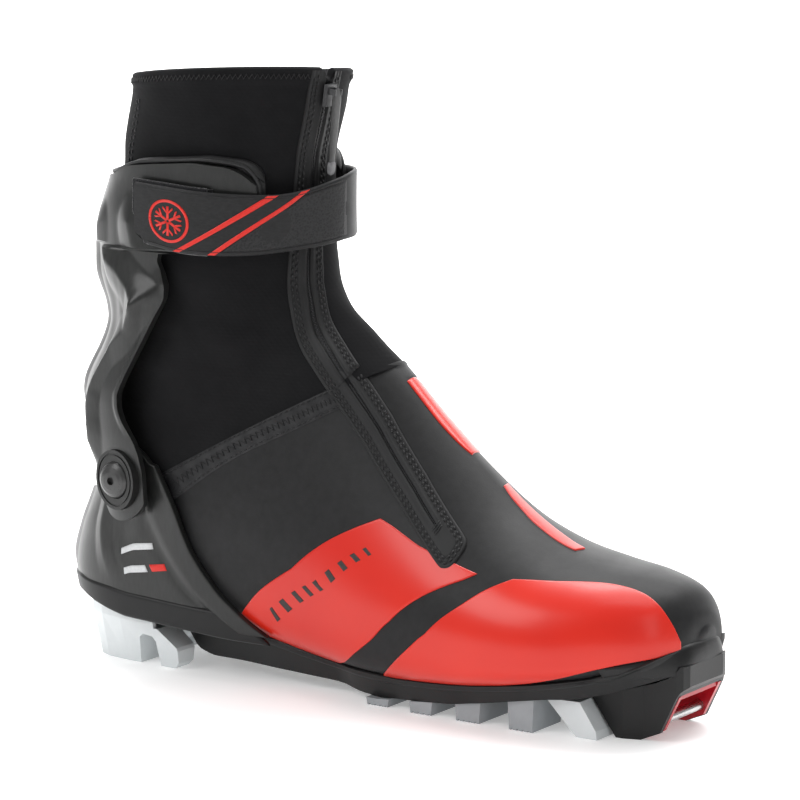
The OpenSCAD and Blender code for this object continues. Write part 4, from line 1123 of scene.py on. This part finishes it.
def make_cuff():
    levels = np.concatenate([np.linspace(64, 176, 76), np.linspace(177, 181, 9),
                             np.linspace(182, 217, 26)])
    us = np.linspace(-1, 1, 171)
    U, L = np.meshgrid(us, levels)
    V = np.abs(U)
    Z = cuff_height(V, L)

    def fold(v, z, line, width):
        """1 on a fold line given as (v, z) points, falling straight to 0 at a width in millimetres."""
        near = np.full(v.shape, 99.0)
        for (v0, z0), (v1, z1) in zip(line[:-1], line[1:]):
            px, pz, dx, dz = (v - v0) * 140, z - z0, (v1 - v0) * 140, z1 - z0
            t = np.clip((px * dx + pz * dz) / (dx * dx + dz * dz), 0, 1)
            near = np.minimum(near, np.hypot(px - t * dx, pz - t * dz))
        return np.clip(1 - near / width, 0, 1)

    def relief(v, z):
        # The rear face is a bevelled spine between two edges, and folds run over the arm to its front edge.
        out = 2.0 * fold(v, z, [(0.30, 96), (0.34, 118), (0.36, 150), (0.34, 186)], 12) * ease(z, 94, 118)
        out += 3.0 * fold(v, z, [(0.60, 190), (0.645, 172.8), (0.755, 168.8), (0.90, 156.4)], 14)
        out += 3.0 * fold(v, z, [(0.90, 156.4), (0.845, 144.8), (0.755, 137.6), (0.72, 117.2), (0.60, 96)],
                          13)
        out += 1.2 * fold(v, z, [(0.90, 156.4), (0.99, 166)], 6)
        out -= 1.0 * np.exp(-(((v - 0.62) * 140 / 12) ** 2 + ((z - 152) / 12) ** 2))
        out -= 1.2 * np.exp(-(((v - 0.16) * 140 / 16) ** 2 + ((z - 146) / 16) ** 2))
        # The rim of the wing and the front edge stand up a little.
        out += 0.7 * ease(v, 0.955, 0.975) * ease(z, 100, 110) * (1 - ease(z, 150, 158))
        return out
    outer = cuff_at(U, Z, -relief(V, Z), cuff_edge(Z))
    inner = cuff_at(U, Z, np.full(U.shape, CUFF_THICK), cuff_edge(Z))
    # Round the pivot the arm is a flat round boss that the cap sits in.
    for p in (outer, inner):
        dx, dz = p[..., 0] - PIVOT_X, p[..., 2] - PIVOT_Z
        r = np.hypot(dx, dz)
        k = np.where((dz < 0) & (r > BOSS_RADIUS) & (V > 0.45), BOSS_RADIUS / np.maximum(r, 1), 1)
        p[..., 0], p[..., 2] = PIVOT_X + dx * k, PIVOT_Z + dz * k
    obj = wall("cuff", outer, inner)
    for side in (-1, 1):
        cutter = tube(f"cuff_cut_{side}", [(0, 0, -22), (0, 0, 22)], 12.75, 72)
        tilt = math.radians(14.5)
        axis = Vector((-math.sin(tilt), side * math.cos(tilt), 0))
        cutter.rotation_euler = axis.to_track_quat("Z", "Y").to_euler()
        cutter.location = (PIVOT_X / 1000, side * 45.3 / 1000, PIVOT_Z / 1000)
        bpy.context.view_layer.update()
        mod = obj.modifiers.new(f"seat_{side}", "BOOLEAN")
        mod.object = cutter
        mod.operation = "DIFFERENCE"
        mod.solver = "EXACT"
    depsgraph = bpy.context.evaluated_depsgraph_get()
    mesh = bpy.data.meshes.new_from_object(obj.evaluated_get(depsgraph))
    obj.modifiers.clear()
    obj.data = mesh
    for other in [o for o in bpy.data.objects if o.name.startswith("cuff_cut_")]:
        bpy.data.objects.remove(other)
    smooth_by_angle(obj, 38)
    bevel(obj, 0.8, 3, 50)
    finish_piece(obj, "cuff", "shell_carbon", nodes=("cuff_shell",))


# ---------------------------------------------------------------- padding inside the cuff
PAD_BACK, PAD_FRONT, BEAD_INSET = 3.7, -40.0, 1.9
PAD_LOW = [[0, 160], [0.4, 162], [0.5, 170], [0.56, 180.2], [1, 180.2]]


def pad_point(u, t, inset):
    """The pad: u round the back as on the cuff, t from its lower edge to its rim."""
    v = np.abs(u)
    low, high = soft(v, PAD_LOW, 0.02), soft(v, CUFF_TOP, 0.02)
    z = low + (high - low) * t
    return cuff_at(u, z, inset, np.full(np.shape(z), PAD_FRONT))


def make_padding():
    """The quilted pad that lines the cuff: a full roll stands over the cuff's rim, with a seam under it."""
    m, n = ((121, 34))
    us, ts = np.linspace(-0.995, 0.995, m), np.linspace(0, 1, n)
    U, T = np.meshgrid(us, ts)
    V = np.abs(U)
    edge = ease(T, 0, 0.08)
    quilt = 0.35 * np.sin(T * math.pi * 5) ** 2
    pinch = np.sqrt(1 - ease(V, 0.955, 0.995))
    face = pad_point(U, T, PAD_BACK)
    back = pad_point(U, T, PAD_BACK + (0.2 + 1.75 * edge + quilt * 0.5) * pinch)
    # The roll over the rim, a half round.
    roll = []
    for k in range(9):
        q = math.pi * k / 8
        p = pad_point(us, np.ones(m), PAD_BACK + (0.7 - 2.6 * math.cos(q)) * pinch[0])
        p[:, 2] += 2.9 * math.sin(q) * pinch[0] + 0.2
        roll.append(p)
    pts = np.concatenate([face, np.array(roll), back[::-1]])
    obj = grid_object("cuff_pad", pts)
    finish_piece(obj, "cuff", "padding_black", nodes=("cuff_padding",))
    # The sewn bead along the top of the roll.
    ub = np.linspace(-0.97, 0.97, 180)
    bead = pad_point(ub, np.ones(180), BEAD_INSET)
    bead[:, 2] += 1.5
    fronts = [cuff_at(np.full(24, u), np.linspace(188, 209.5, 24), BEAD_INSET, np.full(24, PAD_FRONT))
              for u in (-0.985, 0.985)]
    bead = np.concatenate([fronts[0], bead, fronts[1][::-1]])
    bead = np.array([bead[max(0, i - 3):i + 4].mean(0) for i in range(len(bead))])
    finish_piece(tube("pad_bead", bead, 0.95, 8), "cuff", "padding_black")


# ---------------------------------------------------------------- the strap
STRAP = [[-98, 48.3], [-82, 49], [-66, 47.4], [-51.3, 42.2], [-38.8, 33.3], [-29, 22.2], [-21.8, 10],
         [-19.6, 0],
         [-21.8, -10], [-29, -22.2], [-38.8, -33.8], [-51.3, -42.7], [-66, -48.2], [-82, -49.4], [-95, -48.8]]
STRAP_WIDE = 27.0
STRAP_END = len(STRAP) - 1


# The strap's upper edge dips at the outer side, where it is pulled tight.
STRAP_TOP = [[0, 1.0], [6.2, 1.0], [7.9, 0.9], [8.7, 0.8], [9.4, 0.76], [10.5, 0.81], [11.5, 0.87],
             [12.7, 0.96], [13.6, 1.0]]
STRAP_LOW = [[0, 0], [7, -0.02], [8.8, -0.1], [10.2, -0.13], [11.4, -0.1], [12.4, -0.04], [13, 0.05],
             [14, 0.1]]


def strap_at(s, k, out):
    """A point of the strap: s along it, k from 0 at its lower edge to 1, out from its face."""
    s, k, out = np.broadcast_arrays(np.asarray(s, float), np.asarray(k, float), np.asarray(out, float))
    c = np.clip(s, 0, STRAP_END)
    p = spline(STRAP, c)
    d = spline(STRAP, np.clip(c + 0.05, 0, STRAP_END)) - spline(STRAP, np.clip(c - 0.05, 0, STRAP_END))
    n = np.stack([-d[..., 1], d[..., 0]], -1)
    n /= np.linalg.norm(n, axis=-1)[..., None]
    p = p + n * out[..., None]
    foot = 181 + 3.5 * (1 - np.cos(2 * math.pi * (c / STRAP_END))) / 2
    low, top = soft(c, STRAP_LOW, 0.4), soft(c, STRAP_TOP, 0.4)
    return np.stack([p[..., 0], p[..., 1], foot + STRAP_WIDE * (low + (top - low) * k)], -1)


def strap_blend(obj):
    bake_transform(obj)


def strap_strip(name, spots, thick, material="print_red"):
    """A thin printed or welded shape on the strap. spots is a grid of (s, k)."""
    spots = np.asarray(spots, float)
    top, low = (strap_at(spots[..., 0], spots[..., 1], out) for out in (thick, -0.1))
    finish_piece(wall(name, top, low, turn=True), strap_blend, material)


def make_strap():
    m = 190
    s = np.linspace(0, STRAP_END, m)
    # The section, from the lower edge up the outer face and down the inner one, with rounded edges.
    section = ([(0.0, -0.9), (0.006, -0.35), (0.028, 0)] + [(k, 0.0) for k in np.linspace(0.07, 0.93, 11)]
               + [(0.972, 0), (0.994, -0.35), (1.0, -0.9), (0.994, -1.45), (0.972, -1.8)]
               + [(k, -1.8) for k in np.linspace(0.9, 0.1, 7)] + [(0.028, -1.8), (0.006, -1.45)])
    rows = []
    for k, out in section:
        kk = np.full(m, k)
        # The free end: its lower corner is cut back and both corners are rounded.
        end = 13.6 - 0.75 * (1 - ease(kk, -0.1, 0.2)) - 0.05 * ease(kk, 0.93, 1.0)
        ss = s * end / STRAP_END
        ripple = 0.35 * np.sin(ss * 2.1 + 0.4) * np.sin(kk * math.pi) * ease(ss, 1, 3)
        rows.append(strap_at(ss, kk, out + ripple * 0.5))
    obj = grid_object("strap", np.swapaxes(np.array(rows), 0, 1), wrap=True)
    close_ends(obj, m, len(section))
    smooth_by_angle(obj, 45)
    finish_piece(obj, strap_blend, "strap_webbing", nodes=("strap_band", "strap_tail"))

    # Welded edge lines on the outer part, and a stitched box at the inner anchor.
    for name, k in (("upper", 0.94), ("lower", 0.06)):
        obj = tube(f"strap_edge_{name}", strap_at(np.linspace(7.2, 13.1, 170), k, 0.0), 0.28)
        finish_piece(obj, strap_blend, "strap_webbing")
    ss = np.concatenate([np.linspace(0.25, 1.6, 30), np.full(16, 1.6), np.linspace(1.6, 0.25, 30),
                         np.full(16, 0.25)])
    kk = np.concatenate([np.full(30, 0.1), np.linspace(0.1, 0.9, 16), np.full(30, 0.9),
                         np.linspace(0.9, 0.1, 16)])
    pts = strap_at(ss, kk, 0.05)
    nor = strap_at(ss, kk, 1.05) - pts
    obj = stitches("strap_anchor_row", pts, nor, 2.0, 0.9, 0.26)
    finish_piece(obj, "cuff", "thread_black")


EMBLEM_THICK = 0.3
# The two slanting stripes: where their edges start at the strap's foot and end at its upper edge.
STRIPES = [((12.36, 12.18), (9.72, 9.42), 0.0), ((11.4, 11.2), (8.76, 8.52), 0.1)]


def make_strap_print():
    for i, (low, high, bow) in enumerate(STRIPES):
        rows = []
        for f in np.linspace(0, 1, 5):
            k = np.linspace(0.015, 0.985, 40)
            s = (low[0] * (1 - f) + low[1] * f) * (1 - k) + (high[0] * (1 - f) + high[1] * f) * k
            s = s + bow * np.sin(math.pi * k)
            rows.append(np.stack([s, k], -1))
        strap_strip(f"strap_stripe_{i}", rows, 0.2)
    # The coarser grip grain below and beyond the second stripe.
    rows = []
    for f in np.linspace(0, 1, 16):
        k = np.linspace(0.08, 0.92, 24)
        edge = 11.14 * (1 - k) + 8.46 * k + 0.1 * np.sin(math.pi * k)
        rows.append(np.stack([edge * (1 - f) + 6.9 * f, k], -1))
    strap_strip("strap_grain_field", rows, 0.12, "strap_grain")
    # A plain ring with a six-armed snow crystal in it.
    mid_s, mid_k = 12.45, 0.47
    mm_s, mm_k = 1 / 14.6, 1 / 26.0
    q = np.linspace(0, 2 * math.pi, 73)
    ring = np.stack([np.stack([mid_s + r * np.cos(q) * mm_s, mid_k + r * np.sin(q) * mm_k],
                              -1) for r in (7.6, 8.7)])
    strap_strip("emblem_ring", ring, EMBLEM_THICK)
    for arm in range(6):
        t = math.pi / 6 + arm * math.pi / 3
        ct, st = math.cos(t), math.sin(t)

        def spot(r, w):
            return (mid_s + (r * ct - w * st) * mm_s, mid_k + (r * st + w * ct) * mm_k)
        strap_strip(f"emblem_arm_{arm}", [[spot(0.5, -0.5), spot(6.0, -0.5)],
                                          [spot(0.5, 0.5), spot(6.0, 0.5)]],
                    EMBLEM_THICK)
        for side in (-1, 1):
            strap_strip(f"emblem_twig_{arm}_{side + 1}",
                        [[spot(3.0, side * 0.4), spot(4.9, side * 2.2)],
                         [spot(3.9, side * 0.4), spot(5.7, side * 2.0)]], EMBLEM_THICK)


def make_pile():
    """The hook pad under the tail shows as a dark fringe round its end."""
    start, end, n = 11.4, 13.78, 60
    section = ((0.01, -1.9), (-0.02, -2.6), (0.01, -3.2), (0.5, -3.3), (1.02, -3.2), (1.05, -2.6),
               (1.02, -1.9),
               (0.5, -1.7))
    rows = [strap_at(start + (end - 0.62 * (1 - ease(k, -0.1, 0.2)) - start) * np.linspace(0, 1, n), k, out)
            for k, out in section]
    obj = grid_object("hook_fringe", np.swapaxes(np.array(rows), 0, 1), wrap=True)
    close_ends(obj, n, len(section))
    finish_piece(obj, "strap_tail", "hook_loop", nodes=("strap_hook_pad",))


# ---------------------------------------------------------------- the sole
RAND_ROWS = np.concatenate([np.linspace(0.7, 1.1, 5), np.linspace(1.25, 9.2, 64),
                            np.linspace(9.3, 11.16, 34)])


def round_sole(rows, q):
    """Sections and angles under the foot, q from 0 at the rand's upper edge outside to 1 inside, and its width."""
    outer, inner = (rises_past(SOLE_TOP, 180, high, rows.shape, lambda a: skin(rows, a)) for high in (70, 290))
    a = outer[:, None] * (1 - q)[None] + inner[:, None] * q[None]
    return np.broadcast_to(rows[:, None], a.shape), a, np.abs(inner - outer)[:, None]


def make_rand():
    """The moulded rubber rand: a smooth band with a rolled upper edge and a moulded line under it."""
    q = np.concatenate([[0, 0.004, 0.009], np.linspace(0, 1, 60)[1:-1], [0.991, 0.996, 1]])
    S, A, wide = round_sole(RAND_ROWS, q)
    edge = np.minimum(q, 1 - q)[None, :] * wide * 0.75
    h = 2.6 - 1.5 * (1 - ease(edge, 0, 1.6))
    h += 0.3 * np.exp(-((edge - 2.4) / 1.0) ** 2) - 0.35 * np.exp(-((edge - 5.0) / 0.6) ** 2)
    obj = wall("rand", skin(S, A, h), skin(S, A, 0.2))
    bevel(obj, 0.4, 2, 60)
    finish_piece(obj, "boot", "sole_rubber", nodes=("sole_rand",))


UNDERSIDE = [[-143, 17], [-90, 17], [-83, 8], [-74, 5.8], [-57, 6.2], [-31, 6], [-9, 5], [5, 3.4], [18, 3],
             [29, 4],
             [42, 5.4], [56, 6.6], [70, 9], [85, 12], [100, 14.5], [113, 16], [124, 19], [150, 28]]
SOLE_LEAN = [[-143, 8], [-100, 8], [-80, 4.5], [-20, 3.5], [20, 2.5], [80, 2.5], [110, 4], [150, 5]]


def make_outsole():
    """The sole body: side walls that lean in under the rand."""
    S, A, _ = round_sole(RAND_ROWS[:-4], np.linspace(0.045, 0.955, 41))
    top = skin(S, A, 2.7)
    lean = soft(top[..., 0], SOLE_LEAN, 4)
    low = soft(top[..., 0], UNDERSIDE, 2)
    half = np.abs(top[..., 1])
    flat = np.stack([top[..., 0], np.sign(top[..., 1]) * np.maximum(0,
                                                                    half - lean * np.minimum(1, half / 28)),
                     np.minimum(low, top[..., 2] - 0.8)], -1)
    obj = wall("sole_body", flat, top, turn=True)
    smooth_by_angle(obj, 40)
    bevel(obj, 0.7, 2, 45)
    finish_piece(obj, "boot", "sole_rubber", nodes=("outsole",))


# The toe bumper's outline from its middle to its side, at its foot on the block and at its top on the upper.
BUMPER_LOW = [[152.3, 0], [152.3, 7], [152, 12.5], [150.3, 17], [146.5, 21], [141, 25.4], [134, 30],
              [126, 34]]
BUMPER_TOP = [[151.2, 0], [150.8, 6], [149.8, 11.6], [147.8, 16.6], [144.5, 22.2], [139, 28.4], [132, 33.6],
              [124, 37]]


def make_bumper():
    """The smooth rubber toe, between the block and the upper."""
    t = np.linspace(-7, 7, 57)
    rows = []
    for k in np.linspace(0, 1, 12):
        low, high = spline(BUMPER_LOW, np.abs(t)), spline(BUMPER_TOP, np.abs(t))
        p = low * (1 - k) + high * k
        bulge = 0.7 * math.sin(math.pi * k) - 2.6 * max(0, (k - 0.86) / 0.14) ** 2
        grow = 1 + bulge / np.linalg.norm(p - [110, 0], axis=1)
        p = [110, 0] + (p - [110, 0]) * grow[:, None]
        z0 = 27.5 - 1.6 * ease(np.abs(t), 2, 7)
        z1 = 39.4 - 8.0 * ease(np.abs(t), 1.5, 7.4)
        rows.append(np.stack([p[:, 0], p[:, 1] * -np.sign(t),
                              z0 * (1 - k) + z1 * k + 1.2 * max(0, k - 0.86)], -1))
    outer = np.array(rows)
    inner = outer.copy()
    inner[..., 0] = 110 + (outer[..., 0] - 110) * 0.93
    inner[..., 1] *= 0.88
    obj = wall("toe_bumper", outer, inner)
    bevel(obj, 0.4, 2, 60)
    finish_piece(obj, "boot", "sole_rubber")


# The exact CAD parts keep their meshes. Edges sharper than an angle are eased by a width in millimetres.
EASED = {
    (0.8, 30): ("heel_tread", "toe_lugs"), (0.7, 30): ("toe_block",), (0.25, 40): ("toe_bar",),
    (0.35, 30): ("bar_bracket", "forefoot_lugs_outer", "forefoot_lugs_inner"), (0.3, 40): ("strap_rivets",),
    (0.35, 40): ("pivot_cap_outer", "pivot_cap_inner"), (0.25, 30): ("zip_slider",)}


def dress_hardware():
    for (width, angle), names in EASED.items():
        for name in names:
            bevel(NODES[name], width, 3, angle)
            NODES[name].data.polygons.foreach_set("use_smooth", [True] * len(NODES[name].data.polygons))
    for name in ("pivot_screw_outer", "pivot_screw_inner", "pivot_bush_outer", "pivot_bush_inner", "toe_bar"):
        smooth_by_angle(NODES[name], 35)


# ---------------------------------------------------------------- generic marks
def make_marks():
    """A row of plain slanting bars on the outer quarter film, shorter towards the front."""
    low = [(8.4, 125), (8.16, 107), (7.92, 92.5), (7.68, 79.5), (7.42, 70)]
    high = [(8.54, 117.5), (8.33, 101), (8.1, 87.5), (7.86, 76.5), (7.62, 67.5)]
    for i in range(9):
        f = 4 * (i + 0.35) / 9
        rows = []
        for q in (f - 0.075, f - 0.03, f + 0.03, f + 0.075):
            foot, head = spline(low, q + 0.08), spline(high, q - 0.08)
            k = np.linspace(0, 1 - 0.05 * i, 10)[:, None]
            rows.append(foot * (1 - k) + head * k)
        s, a = np.moveaxis(np.array(rows), -1, 0)
        obj = wall(f"film_bar_{i}", on_skin(s, a, 0.74), on_skin(s, a, 0.35))
        finish_piece(obj, "boot", "print_black")


# ---------------------------------------------------------------- the whole boot
make_upper()
make_gaiter()
make_lining()
make_overlays()
make_marks()
make_seam_tape()
make_zip()
make_pull()
make_counter()
make_cuff()
make_padding()
make_strap()
make_strap_print()
make_pile()
make_rand()
make_bumper()
make_outsole()
dress_hardware()

CAD_MATERIALS = {
    "sole_rand": "sole_rubber", "outsole": "sole_rubber", "toe_block": "sole_rubber",
    "heel_tread": "tread_white",
    "forefoot_lugs_outer": "lug_grey", "forefoot_lugs_inner": "lug_grey", "toe_lugs": "tread_white",
    "bar_bracket": "bracket_red", "toe_bar": "bar_steel", "footbed": "insole_felt", "tongue": "lining_mesh",
    "pivot_bush_outer": "pivot_metal", "pivot_bush_inner": "pivot_metal", "pivot_nut_outer": "pivot_metal",
    "pivot_nut_inner": "pivot_metal", "pivot_screw_outer": "screw_dark", "pivot_screw_inner": "screw_dark",
    "pivot_cap_outer": "cap_plastic", "pivot_cap_inner": "cap_plastic", "cuff_padding": "padding_black",
    "strap_band": "strap_webbing", "strap_rivets": "pivot_metal", "strap_loop_pad": "hook_loop",
    "strap_tail": "strap_webbing", "strap_hook_pad": "hook_loop", "zip_slider": "slider_metal"}
for name, material in CAD_MATERIALS.items():
    node = NODES[name]
    node.data.materials.clear()
    node.data.materials.append(MATS[material])
